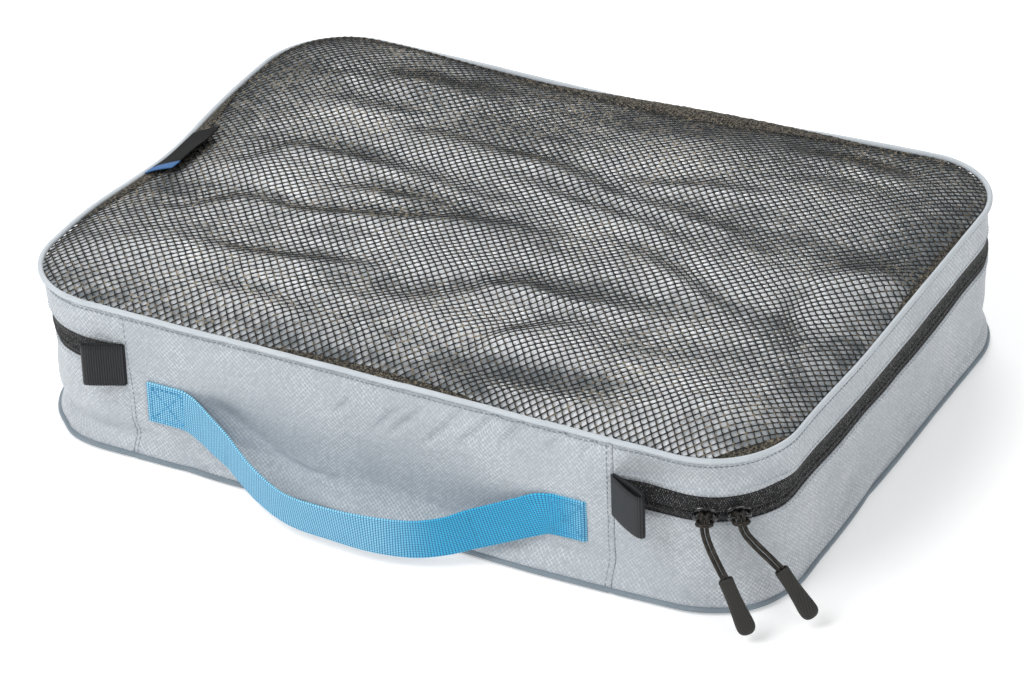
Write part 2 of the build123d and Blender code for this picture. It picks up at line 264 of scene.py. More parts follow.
def film_back_material():
    """The film's inner face: a dull, grey coating."""
    shader = Shader("laminate_back", (0.36, 0.39, 0.42), 0.5, Specular_IOR_Level=0.3)
    cloud = shader.remap(shader.noise(40, 3), 0.3, 0.7)
    shader.colour(cloud, (0.27, 0.295, 0.32), (0.42, 0.45, 0.48))
    shader.bump(shader.noise(160, 2, 0.6), 0.8 * MM, 0.5)
    return shader.material


def webbing_material():
    """Open plain weave: pale crossings with a darker blue between them, and painted shade on the strap's
    right half.
    """
    shader = Shader("webbing", (0.25, 0.6, 0.85), 0.6, Sheen_Weight=0.08)
    warp = shader.stripes(math.pi / 2, 1.2 * MM)
    weft = shader.stripes(0, 1.45 * MM)
    over = shader.times(shader.remap(warp, 0.04, 0.3), shader.remap(weft, 0.04, 0.28))
    fuzz = shader.noise(900, 1)
    share = shader.plus(over, shader.times(fuzz, 0.25))
    # Painted shade: the strap's right half, turned away from the key light, is painted a darker blue.
    painted_shade_right = shader.times(shader.remap(shader.along, 0.16, 0.2), shader.remap(shader.along, 0.285, 0.26))
    pale = shader.mix(painted_shade_right, (0.33, 0.75, 0.98), (0.037, 0.52, 0.84))
    shader.colour(shader.remap(share, 0.15, 0.9), (0.004, 0.16, 0.36), pale)
    shader.bump(shader.plus(over, shader.times(fuzz, 0.2)), 0.4 * MM, 0.8)
    return shader.material


RIB_PITCH = 1.3 * MM


def ribbon_material():
    """Black grosgrain: its ribs are geometry, with fine thread across them; its colour paints a highlight on
    the ribs' crests and shade in the gaps.
    """
    shader = Shader("ribbon", (0.02, 0.021, 0.023), 0.42, Specular_IOR_Level=0.25)
    thread = shader.stripes(math.pi / 2, 0.35 * MM)
    # Painted highlight on each rib's crest and painted shade in the gap between ribs.
    rib = shader.remap(shader.stripes(0, RIB_PITCH), 0.1, 0.45)
    share = shader.times(rib, shader.remap(thread, 0.05, 0.4, 0.6, 1.0))
    shader.colour(share, (0.005, 0.005, 0.006), (0.06, 0.063, 0.068))
    shader.bump(thread, 0.08 * MM, 0.5)
    return shader.material


def cord_material():
    """Braided cord: two slanting sets of strands."""
    shader = Shader("pull_cord", (0.03, 0.027, 0.022), 0.5, cloth="UVMap", Specular_IOR_Level=0.25)
    braid = shader.crossing(14, 0.055, 0.02, 0.3)
    shader.colour(braid, (0.006, 0.005, 0.0045), (0.055, 0.047, 0.038))
    shader.bump(braid, 0.3 * MM, 0.7)
    return shader.material


def grip_material():
    """Dark moulded rubber with fine slanting ribs."""
    shader = Shader("grip", (0.03, 0.029, 0.027), 0.5, Specular_IOR_Level=0.3)
    rib = shader.stripes(math.radians(40), 0.75 * MM)
    shader.colour(shader.remap(rib, 0.05, 0.45), (0.006, 0.006, 0.006), (0.05, 0.048, 0.044))
    shader.roughness(shader.remap(shader.noise(300, 2), 0.3, 0.7, 0.4, 0.6))
    shader.bump(rib, 0.2 * MM, 0.8)
    return shader.material


def lacquer_material():
    """Gloss black lacquer on the sliders, with faint handling marks."""
    shader = Shader("lacquer", (0.008, 0.008, 0.009), 0.14, Coat_Weight=0.6, Coat_Roughness=0.06)
    marks = shader.noise(700, 3)
    shader.roughness(shader.remap(marks, 0.35, 0.7, 0.1, 0.3))
    shader.bump(marks, 0.03 * MM, 0.3)
    return shader.material


def thread_material(name, colour):
    """Sewing thread, twisted."""
    shader = Shader(name, colour, 0.55, Sheen_Weight=0.05)
    shader.bump(shader.noise(3000, 1), 0.05 * MM, 0.5)
    return shader.material


def fold_material():
    """Many layers of net seen edge on: a dark tangle with brown lights."""
    shader = Shader("net_fold", (0.05, 0.045, 0.036), 0.7, Specular_IOR_Level=0.25)
    tangle = shader.noise(900, 3, 0.7)
    shader.colour(shader.remap(tangle, 0.42, 0.66), (0.010, 0.010, 0.009), (0.20, 0.175, 0.135))
    shader.bump(tangle, 0.6 * MM, 0.9)
    return shader.material


def label_material():
    """A woven tag, black with a blue band at its front end."""
    shader = Shader("label", (0.012, 0.012, 0.013), 0.7, Specular_IOR_Level=0.1)
    weave = shader.stripes(0.78, 0.45 * MM)
    band = shader.remap(shader.along, 7.8 * MM, 7.6 * MM)
    tint = shader.mix(band, (0.003, 0.003, 0.0034), (0.08, 0.19, 0.42))
    shader.colour(shader.remap(weave, 0.1, 0.5, 0.25, 0.0), tint, (0.02, 0.02, 0.023))
    shader.bump(weave, 0.1 * MM, 0.6)
    return shader.material


RIPSTOP = ripstop_material("ripstop", (0.47, 0.51, 0.55), (0.74, 0.77, 0.80), (0.30, 0.335, 0.37))
LINING = ripstop_material("base_cloth", (0.40, 0.435, 0.47), (0.55, 0.58, 0.61), (0.28, 0.31, 0.34))
TOP_COVER = twill_material("top_piping", (0.66, 0.71, 0.75), (0.48, 0.53, 0.57), 0.5 * MM)
BOTTOM_COVER = twill_material("bottom_piping", (0.27, 0.325, 0.37), (0.15, 0.19, 0.225), 0.5 * MM)
BINDING = twill_material("binding", (0.42, 0.46, 0.50), (0.30, 0.34, 0.38), 0.6 * MM)
ZIP_TAPE = zip_tape_material()
NET = net_material()
FILM = film_material()
FILM_BACK = film_back_material()
WEBBING = webbing_material()
RIBBON = ribbon_material()
CORD = cord_material()
GRIP = grip_material()
LACQUER = lacquer_material()
LABEL = label_material()
PALE_THREAD = thread_material("pale_thread", (0.56, 0.61, 0.66))
BLUE_THREAD = thread_material("blue_thread", (0.07, 0.36, 0.62))
SEAM_THREAD = thread_material("seam_thread", (0.29, 0.33, 0.37))
COIL = thread_material("coil_nylon", (0.018, 0.018, 0.02))
FOLD = fold_material()


# ------------------------------------------------------------------ mesh helpers
def add_object(name, data):
    made = bpy.data.objects.new(name, data)
    bpy.context.scene.collection.objects.link(made)
    return made


def make_piece(name, points, faces, material, uv=None):
    """A smooth-shaded mesh piece from arrays, with (along, up) positions in its cloth map."""
    mesh = bpy.data.meshes.new(name)
    faces = faces.tolist() if isinstance(faces, np.ndarray) else faces
    mesh.from_pydata(np.asarray(points).tolist(), [], faces)
    if uv is not None:
        layer = mesh.uv_layers.new(name="cloth")
        corners = np.empty(len(mesh.loops), int)
        mesh.loops.foreach_get("vertex_index", corners)
        layer.data.foreach_set("uv", np.asarray(uv, float)[corners].ravel())
    mesh.shade_smooth()
    mesh.materials.append(material)
    return add_object(name, mesh)


def join(piece, body, slot, *nodes):
    """Give a piece its body, or bake it in place for the lid's roll, and hide the CAD nodes it stands for.
    slot is not used.
    """
    if body == LID_ROLL:
        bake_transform(piece)
    else:
        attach(piece, body)
    if nodes:
        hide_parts(*nodes)
    return piece


def grid_faces(rows, columns, closed=False, first=0):
    """Quads between the points of a grid, stored row by row. closed joins the last column."""
    row = np.arange(rows - 1)[:, None] * columns
    column = np.arange(columns if closed else columns - 1)[None, :]
    after = (column + 1) % columns
    corners = (row + column, row + after, row + columns + after, row + columns + column)
    return np.stack([c.ravel() for c in corners], -1) + first


def bake_modifiers(piece):
    """Apply the piece's modifiers to its mesh."""
    graph = bpy.context.evaluated_depsgraph_get()
    made = bpy.data.meshes.new_from_object(piece.evaluated_get(graph), depsgraph=graph)
    piece.modifiers.clear()
    piece.data = made
    return piece


def thicken(piece, thickness, offset=-1.0, back_slot=0):
    """Turn a single layer of cloth into a closed sheet. Its inner face can have its own material."""
    modifier = piece.modifiers.new("thickness", "SOLIDIFY")
    modifier.thickness = thickness
    modifier.offset = offset
    modifier.material_offset = back_slot
    return bake_modifiers(piece)


def full_turn(count):
    return np.linspace(0, 2 * math.pi, count, endpoint=False)


def squarish(turn, power):
    """A rounded square's cosine and sine: the lower the power, the squarer."""
    return [np.sign(wave) * np.abs(wave) ** power for wave in (np.cos(turn), np.sin(turn))]


def unit(vectors):
    return vectors / np.linalg.norm(vectors, axis=1)[:, None]


def smooth_step(value, low, high):
    share = np.clip((np.asarray(value, float) - low) / (high - low), 0, 1)
    return share * share * (3 - 2 * share)


def noise_at(points, size, seed=0.0):
    """Smooth noise from about -1 to 1 at each point, with features of the given size."""
    scale = 1.0 / np.asarray(size, float)
    turned = np.asarray(points) * scale + seed
    return np.array([noise.noise(Vector(p)) for p in turned])


def ridge_at(points, size, seed=0.0):
    """Narrow crests from 0 to 1, drawn out along the longer sizes."""
    return (1 - np.minimum(np.abs(noise_at(points, size, seed)) * 3.2, 1)) ** 2


def tube_rings(centres, radius, sides, closed=False):
    """The points of a tube round a line of centres, ring by ring."""
    if closed:
        ahead = np.roll(centres, -1, 0) - np.roll(centres, 1, 0)
    else:
        ahead = np.gradient(centres, axis=0)
    ahead = unit(ahead)
    side = unit(np.cross(ahead, [0.0, 0.0, 1.0]))
    top = np.cross(side, ahead)
    angle = full_turn(sides)[None, :, None]
    ring = np.cos(angle) * side[:, None] + np.sin(angle) * top[:, None]
    radius = np.broadcast_to(np.reshape(radius, (-1, 1, 1)), (len(centres), 1, 1))
    return (centres[:, None] + ring * radius).reshape(-1, 3)


# ------------------------------------------------------------------ the cube's outline
def outline_point(s):
    """(x, y, normal x, normal y) of the outermost line, s along it from the front run's left end."""
    s = np.asarray(s, float) % PERIMETER
    found = np.zeros((4, *s.shape))
    start = 0.0
    for side, run in enumerate((RUN_X, RUN_Y, RUN_X, RUN_Y)):
        turn = (side - 1) * math.pi / 2
        nx, ny = math.cos(turn), math.sin(turn)
        reach = (HALF_X if side % 2 else HALF_Y) - CORNER
        # Each run slides along its side, then turns through the corner that follows it.
        slide = np.clip(s - start, 0, run) - run / 2
        bend = turn + np.clip(s - start - run, 0, ARC) / CORNER
        x = nx * reach - ny * slide + CORNER * np.cos(bend)
        y = ny * reach + nx * slide + CORNER * np.sin(bend)
        here = (s >= start) & (s < start + run + ARC)
        found = np.where(here, np.stack([x, y, np.cos(bend), np.sin(bend)]), found)
        start += run + ARC
    return found


def front_s(x):
    """The distance along the outline of a place on the front run."""
    return x + RUN_X / 2


def edge_inset(x, y):
    """How far inside the outline a point of the plan is."""
    past_x = np.abs(x) - (HALF_X - CORNER)
    past_y = np.abs(y) - (HALF_Y - CORNER)
    corner = np.hypot(np.maximum(past_x, 0), np.maximum(past_y, 0))
    return CORNER - corner - np.minimum(np.maximum(past_x, past_y), 0)


# How far each top corner of the soft cube stands above or below its nominal height.
CORNER_LIFT = {
    (-1, -1): 4.0 * MM, (1, -1): 5.0 * MM, (1, 1): 4.0 * MM, (-1, 1): -10.6 * MM,
}


def bell(value, middle, width):
    return np.exp(-(((value - middle) / width) ** 2))


def settle(points):
    """Move points of the straight-sided shape to where the filled, soft cube takes them."""
    x, y, z = np.asarray(points, float).T
    top = smooth_step(z, ZIP_Z + 1 * MM, TOP_PIPING_Z)
    upper = smooth_step(z, 0.026, TOP_PIPING_Z)
    across, back = np.clip(x / HALF_X, -1, 1), np.clip(y / HALF_Y, -1, 1)
    # The rim's back run dips between its corners.
    lift = -5.0 * MM * bell(x, -0.01, 0.11) * bell(y, HALF_Y, 0.03)
    for (sign_x, sign_y), rise in CORNER_LIFT.items():
        lift += rise * (1 + sign_x * across) / 2 * (1 + sign_y * back) / 2
    # The front left corner leans out, the left side waves, and the right side leans out.
    left = bell(x, -HALF_X, 0.05)
    push = -5.2 * MM * bell(x, -HALF_X, 0.12) * bell(y, -HALF_Y, 0.085)
    for wave, middle, width in ((3.4, 0.0, 0.04), (-1.4, 0.085, 0.04), (-3.2, -0.078, 0.035)):
        push += left * wave * MM * bell(y, middle, width)
    push += 2.4 * MM * bell(x, HALF_X, 0.05) * smooth_step(y, -0.10, -0.03)
    return np.stack([x + push * upper, y, z + lift * top], -1)


# Short creases in the front panel in millimetres: depth, width, then their upper and lower ends (x, z).
FRONT_CREASES = [
    (1.0, 2.0, (9, 73), (-3, 60)), (1.1, 2.0, (24, 76), (7, 61)), (1.3, 2.2, (47, 79), (28, 61)),
    (1.4, 2.4, (69, 84), (48, 65)), (1.2, 2.0, (84, 84), (71, 70)), (1.1, 2.0, (109, 86), (97, 73)),
    (0.9, 1.8, (126, 85), (118, 76)), (0.9, 1.8, (-16, 74), (-26, 63)), (2.4, 7.0, (-98, 46), (-58, 20)),
    (1.0, 3.0, (-60, 24), (-20, 16)), (1.0, 2.4, (-118, 20), (-92, 14)), (0.9, 2.0, (92, 20), (118, 13)),
    (1.0, 2.4, (-144, 34), (-120, 18)),
]


def front_crease_depth(x, z):
    """How deep the front panel's creases are at each point."""
    depth_here = np.zeros(x.shape)
    for depth, width, upper, lower in FRONT_CREASES:
        start = np.array(upper) * MM
        run = np.array(lower) * MM - start
        length = np.hypot(*run)
        along = ((x - start[0]) * run[0] + (z - start[1]) * run[1]) / length**2
        across = ((x - start[0]) * run[1] - (z - start[1]) * run[0]) / length
        ends = smooth_step(along, -0.25, 0.2) * smooth_step(1.25 - along, 0, 0.5)
        depth_here += 1.7 * depth * MM * bell(across, 0, width * MM) * ends
    return depth_here


def wall_bulge(s, z):
    """How far the soft wall stands out of its flat place."""
    x, y, _, _ = outline_point(s)
    here = np.stack([x, y, z], -1)
    slanted = np.stack([x * 0.9 + z * 0.45, y, z * 0.9 - x * 0.45], -1)
    height = (z - WALL_BOTTOM) / (PANEL_TOP - WALL_BOTTOM)
    belly = np.sin(math.pi * np.clip(height, 0, 1))
    left = smooth_step(-x, 0.17, 0.215)
    front = smooth_step(-y, 0.150, 0.160)
    right = smooth_step(x, 0.17, 0.215)
    near_corner = smooth_step(x, 0.13, 0.18) * smooth_step(-y, 0.09, 0.14)
    near_left = smooth_step(-x, 0.12, 0.16) * smooth_step(-y, 0.09, 0.15)
    # The filled shape, then broad and small waves in the cloth.
    out = 2.0 * MM * belly * (front * 0.3 + right + left * 0.3)
    out += 1.3 * MM * belly * noise_at(here, (0.075, 0.075, 0.06), 3.1)
    out += 0.55 * MM * belly * noise_at(here, (0.026, 0.026, 0.020), 8.7)
    # The foot flares over the bottom piping.
    foot = smooth_step(0.022 - z, 0, 0.020)
    out += left * 1.8 * MM * smooth_step(0.020 - z, 0, 0.018)
    out += foot * front * (4.4 * MM * bell(x, 0.08, 0.10) + 2.6 * MM)
    out += foot * 5.0 * MM * near_corner * (1 - front)
    out += foot * right * (1 - near_corner) * 3.2 * MM
    # Hollows: at the left zip, above the left foot, and above the zip at the near corner.
    out -= left * 3.0 * MM * bell(z, 0.055, 0.014)
    out -= 4.4 * MM * near_left * bell(z, 0.013, 0.007)
    out -= 6.0 * MM * smooth_step(x, 0.13, 0.155) * smooth_step(-y, 0.11, 0.135) * bell(z, 0.073, 0.008)
    # Creases under the rim, in the front panel, by the right seam and along the foot.
    out -= 0.5 * MM * smooth_step(z, 0.050, 0.084) * front * ridge_at(slanted, (0.07, 0.5, 0.013), 1.7)
    out -= front * front_crease_depth(x, z)
    rippled = bell(x, 0.135, 0.035) * bell(z, 0.036, 0.020) * front
    out -= 1.0 * MM * rippled * ridge_at(here, (0.05, 0.05, 0.010), 6.1)
    out -= 1.6 * MM * smooth_step(0.034 - z, 0, 0.02) * ridge_at(here, (0.11, 0.11, 0.02), 5.2)
    for seam in (LEFT_SEAM, RIGHT_SEAM):
        out -= front * 0.9 * MM * np.exp(-np.abs(x - seam) / (0.5 * MM))
    # The wall is held flat by the sliders, the strap's sewn ends and the left loop.
    near_sliders = bell(x, 0.190, 0.045) * bell(y, -0.150, 0.045)
    near_sliders = np.maximum(near_sliders, bell(x, 0.220, 0.03) * bell(y, -0.105, 0.03))
    calm = 1 - near_sliders * bell(z, ZIP_Z, 0.014)
    sewn = front * (bell(x, -0.128, 0.016) + bell(x, 0.1085, 0.016)) * bell(z, 0.0385, 0.018)
    sewn += 2.0 * smooth_step(-y, 0.13, 0.15) * bell(x, -0.165, 0.028) * bell(z, 0.057, 0.026)
    return out * calm * (1 - np.clip(sewn, 0, 1))


def wall_place(s, inset, z):
    """Points of the soft wall, at distances along the outline, insets and heights."""
    s, inset, z = (np.ravel(a).astype(float) for a in np.broadcast_arrays(s, inset, z))
    x, y, nx, ny = outline_point(s)
    out = wall_bulge(s, z) - inset
    return settle(np.stack([x + nx * out, y + ny * out, z], -1))


def wall_strip(name, start, end, heights, insets, material, step=2.2 * MM, thickness=0.5 * MM):
    """A strip of cloth on the wall, from one distance to another, with a profile of insets."""
    columns = max(2, int(round((end - start) / step)) + 1)
    by_seam = np.array([0.3, 0.7, 1.3]) * MM
    along = np.sort(np.concatenate([np.linspace(start, end, columns), start + by_seam, end - by_seam]))
    z = np.repeat(heights, len(along))
    s = np.tile(along, len(heights))
    inset = np.repeat(np.broadcast_to(insets, heights.shape), len(along))
    points = wall_place(s, inset, z)
    faces = grid_faces(len(heights), len(along))
    piece = make_piece(name, points, faces, material, np.stack([s, z], -1))
    return thicken(piece, thickness)


# ------------------------------------------------------------------ walls
# How far the cloth stands out from the seam that its edge is turned into.
SEAM_FOLD = 0.5 * MM


def heights_between(bottom, top, step=1.6 * MM):
    return np.linspace(bottom, top, max(2, int(round((top - bottom) / step)) + 1))


def wall_profile(heights, bottom_turn, top_turn):
    """Insets that roll the cloth's top and bottom edges in towards their seams."""
    inset = np.full(len(heights), WALL_INSET - SEAM_FOLD)
    inset += bottom_turn * np.exp(-(heights - heights[0]) / (1.6 * MM))
    inset += top_turn * np.exp(-(heights[-1] - heights) / (1.3 * MM))
    return inset


def build_walls():
    low = heights_between(WALL_BOTTOM, LOWER_TAPE_BOTTOM + 0.4 * MM)
    high = heights_between(UPPER_TAPE_TOP - 0.4 * MM, FILM_RIM_Z)
    full = heights_between(WALL_BOTTOM, PANEL_TOP, 1.2 * MM)
    round_back = (BAND_START, BAND_END)
    across_front = (front_s(LEFT_SEAM), front_s(RIGHT_SEAM))
    for node, span, heights, bottom_turn, top_turn, step, body, rests_on in (
        ("base_gusset", round_back, low, 1.2, 0.4, 2.2, "base", "base_panel_cloth"),
        ("lid_gusset", round_back, high, 0.4, 2.4, 2.2, LID_ROLL, "top_piping_cover"),
        ("front_panel", across_front, full, 1.2, 2.4, 1.2, "base", "base_panel_cloth"),
    ):
        profile = wall_profile(heights, bottom_turn * MM, top_turn * MM)
        wall = wall_strip(node + "_cloth", *span, heights, profile, RIPSTOP, step * MM)
        join(wall, body, "ripstop", node)


def plan_disc(name, inset, rings, columns, height_at, material, flip=False):
    """A panel filling the outline, from its edge to its middle, at heights given by a function."""
    s = np.linspace(0, PERIMETER, columns, endpoint=False)
    x, y, nx, ny = outline_point(s)
    x, y = x - nx * inset, y - ny * inset
    share = np.linspace(1, 0.004, rings)[:, None]
    grid_x, grid_y = np.append(share * x, 0), np.append(share * y, 0)
    points = np.stack([grid_x, grid_y, height_at(grid_x, grid_y)], -1)
    middle = len(points) - 1
    last = (rings - 1) * columns
    faces = grid_faces(rings, columns, closed=True).tolist()
    faces += [[last + i, last + (i + 1) % columns, middle] for i in range(columns)]
    if flip:
        faces = [f[::-1] for f in faces]
    return make_piece(name, points, faces, material, points[:, :2])


def base_height(x, y):
    """The base panel lies flat and turns up a little into the bottom seam."""
    inset = edge_inset(x, y)
    turned_up = 1.6 * MM * np.exp(-(inset - WALL_INSET) / (3.0 * MM))
    here = np.stack([x, y, np.zeros_like(x)], -1)
    puckers = 0.7 * MM * np.abs(noise_at(here, (0.05, 0.05, 1.0), 2.2)) * smooth_step(0.06 - inset, 0, 0.05)
    return turned_up + puckers


def build_base_panel():
    panel = plan_disc("base_panel_cloth", WALL_INSET, 46, 420, base_height, LINING, flip=True)
    thicken(panel, 0.4 * MM)
    join(panel, "base", "ripstop", "base_panel")


# ------------------------------------------------------------------ piping and bindings
def piping(name, height, material, waver, tuck, plump, body, *nodes):
    """A covered cord all round the outline, slightly pulled about by its seam."""
    columns, sides = 900, 14
    s = np.linspace(0, PERIMETER, columns, endpoint=False)
    x, y, nx, ny = outline_point(s)
    here = np.stack([x, y, np.full(columns, height)], -1)
    z = height + waver * noise_at(here, (0.05, 0.05, 1), 4.4)
    out = wall_bulge(s, np.full(columns, height)) - PIPING_RADIUS - tuck
    centres = settle(np.stack([x + nx * out, y + ny * out, z], -1))
    radius = plump * PIPING_RADIUS * (0.93 + 0.05 * noise_at(here, (0.008, 0.008, 1), 1.2))
    points = tube_rings(centres, radius, sides, closed=True)
    around = np.tile(np.arange(sides) * (2 * math.pi * PIPING_RADIUS / sides), columns)
    column, side = (a.ravel() for a in np.indices((columns, sides)))
    beyond, after = (column + 1) % columns, (side + 1) % sides
    faces = np.stack([
        column * sides + side, beyond * sides + side, beyond * sides + after, column * sides + after
    ], -1)
    piece = make_piece(name, points, faces, material, np.stack([np.repeat(s, sides), around], -1))
    join(piece, body, nodes[0], *nodes)


def build_edges():
    piping("top_piping_cover", TOP_PIPING_Z, TOP_COVER, 0.3 * MM, 0, 0.87, LID_ROLL,
           "top_piping", "top_piping_core")
    piping("bottom_piping_cover", BOTTOM_PIPING_Z + 0.2 * MM, BOTTOM_COVER, 0.5 * MM, 1.6 * MM, 0.85, "base",
           "bottom_piping", "bottom_piping_core")
    for node, body, ends in (
        ("bottom_seam_binding", "base", (0, PERIMETER)),
        ("top_seam_binding", LID_ROLL, (BAND_START, BAND_END)),
    ):
        low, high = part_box(node)
        heights = heights_between(low.z, high.z, 1.2 * MM)
        strip = wall_strip(node + "_tape", *ends, heights, HALF_X - high.x, BINDING, 4 * MM)
        join(strip, body, "binding", node)


# ------------------------------------------------------------------ zip
def zip_profile(heights):
    """The tape's insets: sunk behind the cloth's edge, and raised over the hidden coil."""
    from_centre = np.abs(heights - ZIP_Z)
    raised = 1.1 * MM * bell(from_centre, 1.6 * MM, 1.5 * MM)
    parting = 0.55 * MM * bell(from_centre, 0, 0.3 * MM)
    return WALL_INSET + 0.5 * MM - raised + parting


def build_zip():
    gap = 0.05 * MM
    under_cloth = 1.5 * MM
    # Rows of the tape crowd together towards the parting line.
    away = np.linspace(0, 1, 22) ** 1.6
    below = ZIP_Z - gap - away[::-1] * (ZIP_Z - gap - LOWER_TAPE_BOTTOM + under_cloth)
    above = ZIP_Z + gap + away * (UPPER_TAPE_TOP + under_cloth - ZIP_Z - gap)
    for half, heights, body in (("lower", below, "base"), ("upper", above, LID_ROLL)):
        tape = wall_strip(
            f"zip_tape_{half}_weave", BAND_START, BAND_END, heights, zip_profile(heights), ZIP_TAPE,
            thickness=0.35 * MM
        )
        join(tape, body, "zip_tape", f"zip_tape_{half}")
    build_coil("lower", -1, "base")
    build_coil("upper", 1, LID_ROLL)


def build_coil(half, sign, body):
    """A coil as a real helix of nylon, on the inner face of its tape."""
    steps = 7
    count = int((BAND_END - BAND_START) / (1.6 * MM)) * steps
    s = np.linspace(BAND_START, BAND_END, count)
    turn = np.arange(count) / steps * 2 * math.pi
    _, _, nx, ny = outline_point(s)
    line = wall_place(s, WALL_INSET + 2.3 * MM, ZIP_Z + sign * 1.75 * MM)
    through = 0.85 * MM * np.sin(turn)
    line += np.stack([-nx * through, -ny * through, 1.35 * MM * np.cos(turn)], -1)
    points = tube_rings(line, 0.28 * MM, 4)
    coil = make_piece(f"zip_coil_{half}_helix", points, grid_faces(count, 4, closed=True), COIL)
    join(coil, body, "zip_coil", f"zip_coil_{half}")


# ------------------------------------------------------------------ stitching
# A stitch's rings, in shares of its length, its radius and its rise off the cloth.
STITCH_RINGS = [(0, 0.3, -0.8), (0.12, 0.9, 0.35), (0.5, 1.0, 0.7), (0.88, 0.9, 0.35), (1.0, 0.3, -0.8)]
STITCH_PITCH = 3.0 * MM
STITCH_RADIUS = 0.28 * MM


def stitch_mesh(name, starts, ends, outward, material, body, slot, radius=STITCH_RADIUS):
    """Many short stitches as one piece: each is a bowed bead of thread between two holes."""
    starts, ends, outward = (np.asarray(a, float) for a in (starts, ends, outward))
    sides = 5
    side = unit(np.cross(unit(ends - starts), outward))
    points = []
    for share, width, rise in STITCH_RINGS:
        centre = starts + (ends - starts) * share + outward * (rise * radius)
        for a in full_turn(sides):
            points.append(centre + radius * width * (math.cos(a) * side + math.sin(a) * outward))
    per = len(STITCH_RINGS) * sides
    first = np.arange(len(starts))[:, None] * per
    one = grid_faces(len(STITCH_RINGS), sides, closed=True)
    faces = (one[None] + first[:, None]).reshape(-1, 4).tolist()
    faces += (first + np.arange(sides)[::-1]).tolist()
    faces += (first + per - sides + np.arange(sides)).tolist()
    piece = make_piece(name, np.stack(points, 1).reshape(-1, 3), faces, material)
    return join(piece, body, slot)


def stitches_along(name, start, end, height, material, body):
    """A row of stitches round the wall."""
    s = start + (np.arange(int((end - start) / STITCH_PITCH)) + 0.5) * STITCH_PITCH
    _, _, nx, ny = outline_point(s)
    half = 0.38 * STITCH_PITCH
    ends = [wall_place(s + side * half, WALL_INSET - SEAM_FOLD, height) for side in (-1, 1)]
    outward = np.stack([nx, ny, np.zeros(len(s))], -1)
    stitch_mesh(name, *ends, outward, material, body, "ripstop")


def build_stitching():
    off_zip = 1.6 * MM
    under_piping = TOP_PIPING_Z - 4.6 * MM
    band = (BAND_START, BAND_END)
    panel = (front_s(LEFT_SEAM), front_s(RIGHT_SEAM))
    stitches_along("stitches_above_zip", *band, UPPER_TAPE_TOP + off_zip, PALE_THREAD, LID_ROLL)
    stitches_along("stitches_below_zip", *band, LOWER_TAPE_BOTTOM - off_zip, PALE_THREAD, "base")
    stitches_along("stitches_under_piping", *band, under_piping, SEAM_THREAD, LID_ROLL)
    stitches_along("stitches_front_panel_top", *panel, under_piping, SEAM_THREAD, "base")
    z = np.arange(WALL_BOTTOM + 3 * MM, PANEL_TOP - 3 * MM, STITCH_PITCH)
    outward = np.tile([0.0, -1.0, 0.0], (len(z), 1))
    for side, x in (("left", LEFT_SEAM + 2.4 * MM), ("right", RIGHT_SEAM - 3.2 * MM)):
        first, last = (
            wall_place(front_s(x), WALL_INSET - SEAM_FOLD, z + share * STITCH_PITCH) for share in (0, 0.76)
        )
        stitch_mesh(f"stitches_front_seam_{side}", first, last, outward, SEAM_THREAD, "base", "ripstop")


# ------------------------------------------------------------------ lid panel
# The lid's creases in millimetres: depth, width, then the plan points each one runs through.
CREASES = [
    (2.6, 3.4, [(-118, 68), (-88, 68), (-43, 67), (-17, 66), (5, 60), (40, 50), (75, 46), (112, 39),
                (140, 18)]),
    (2.3, 3.6, [(-190, -4), (-168, 2), (-158, 24), (-139, 30), (-97, 28), (-61, 24), (-25, 17)]),
    (2.8, 3.2, [(-190, -62), (-172, -57), (-160, -42), (-147, -32), (-113, -33), (-71, -22), (-40, -10),
                (-7, -2), (23, -3)]),
    (2.4, 4.0, [(-50, -96), (-21, -89), (-4, -79), (27, -54), (57, -53), (91, -49), (130, -52)]),
    (1.9, 3.5, [(-132, -124), (-108, -120), (-78, -122), (-50, -127)]),
    (3.4, 6.0, [(9, -134), (39, -141), (71, -138), (95, -134), (121, -127), (147, -119)]),
    (2.4, 3.5, [(35, -131), (40, -107), (61, -82), (91, -70)]),
    (2.2, 5.5, [(-150, 106), (-122, 118), (-98, 122), (-60, 128)]),
    (1.8, 3.5, [(-172, 80), (-146, 80), (-117, 82), (-92, 92)]),
    (2.0, 3.2, [(20, 67), (46, 66), (78, 77), (109, 81)]),
    (1.8, 3.0, [(-20, 44), (5, 38), (38, 32), (70, 27), (96, 14)]),
    (2.8, 6.0, [(158, 20), (184, 35), (212, 48)]),
    (2.2, 4.0, [(106, 136), (146, 137), (180, 128)]),
    (1.6, 3.0, [(-112, -6), (-80, 2), (-50, 2), (-20, -8)]),
    (1.7, 3.2, [(-150, -86), (-110, -84), (-70, -74), (-40, -70)]),
    (1.7, 3.2, [(60, 4), (90, -6), (120, -24), (150, -40)]),
    (1.8, 4.0, [(190, -60), (172, -30), (168, 0)]),
]
# Places where the film presses up against the net and carries painted light, in millimetres: middle, reach
# and rise.
HUMPS = [
    (-164, -105, 26, 2.2), (-99, -109, 24, 2.0), (10, -108, 20, 2.2), (66, -112, 20, 2.4),
    (160, -116, 28, 2.0), (140, -6, 30, 2.0), (-20, -50, 34, 1.4), (-60, 44, 34, 1.2),
    (-150, -10, 22, 1.2), (60, 92, 34, 1.2),
]
# The lid table's grid step, how far it passes the outline, and how far the net lies over the film.
LID_STEP = 1.5 * MM
LID_MARGIN = 12 * MM
NET_LIFT = 1.3 * MM


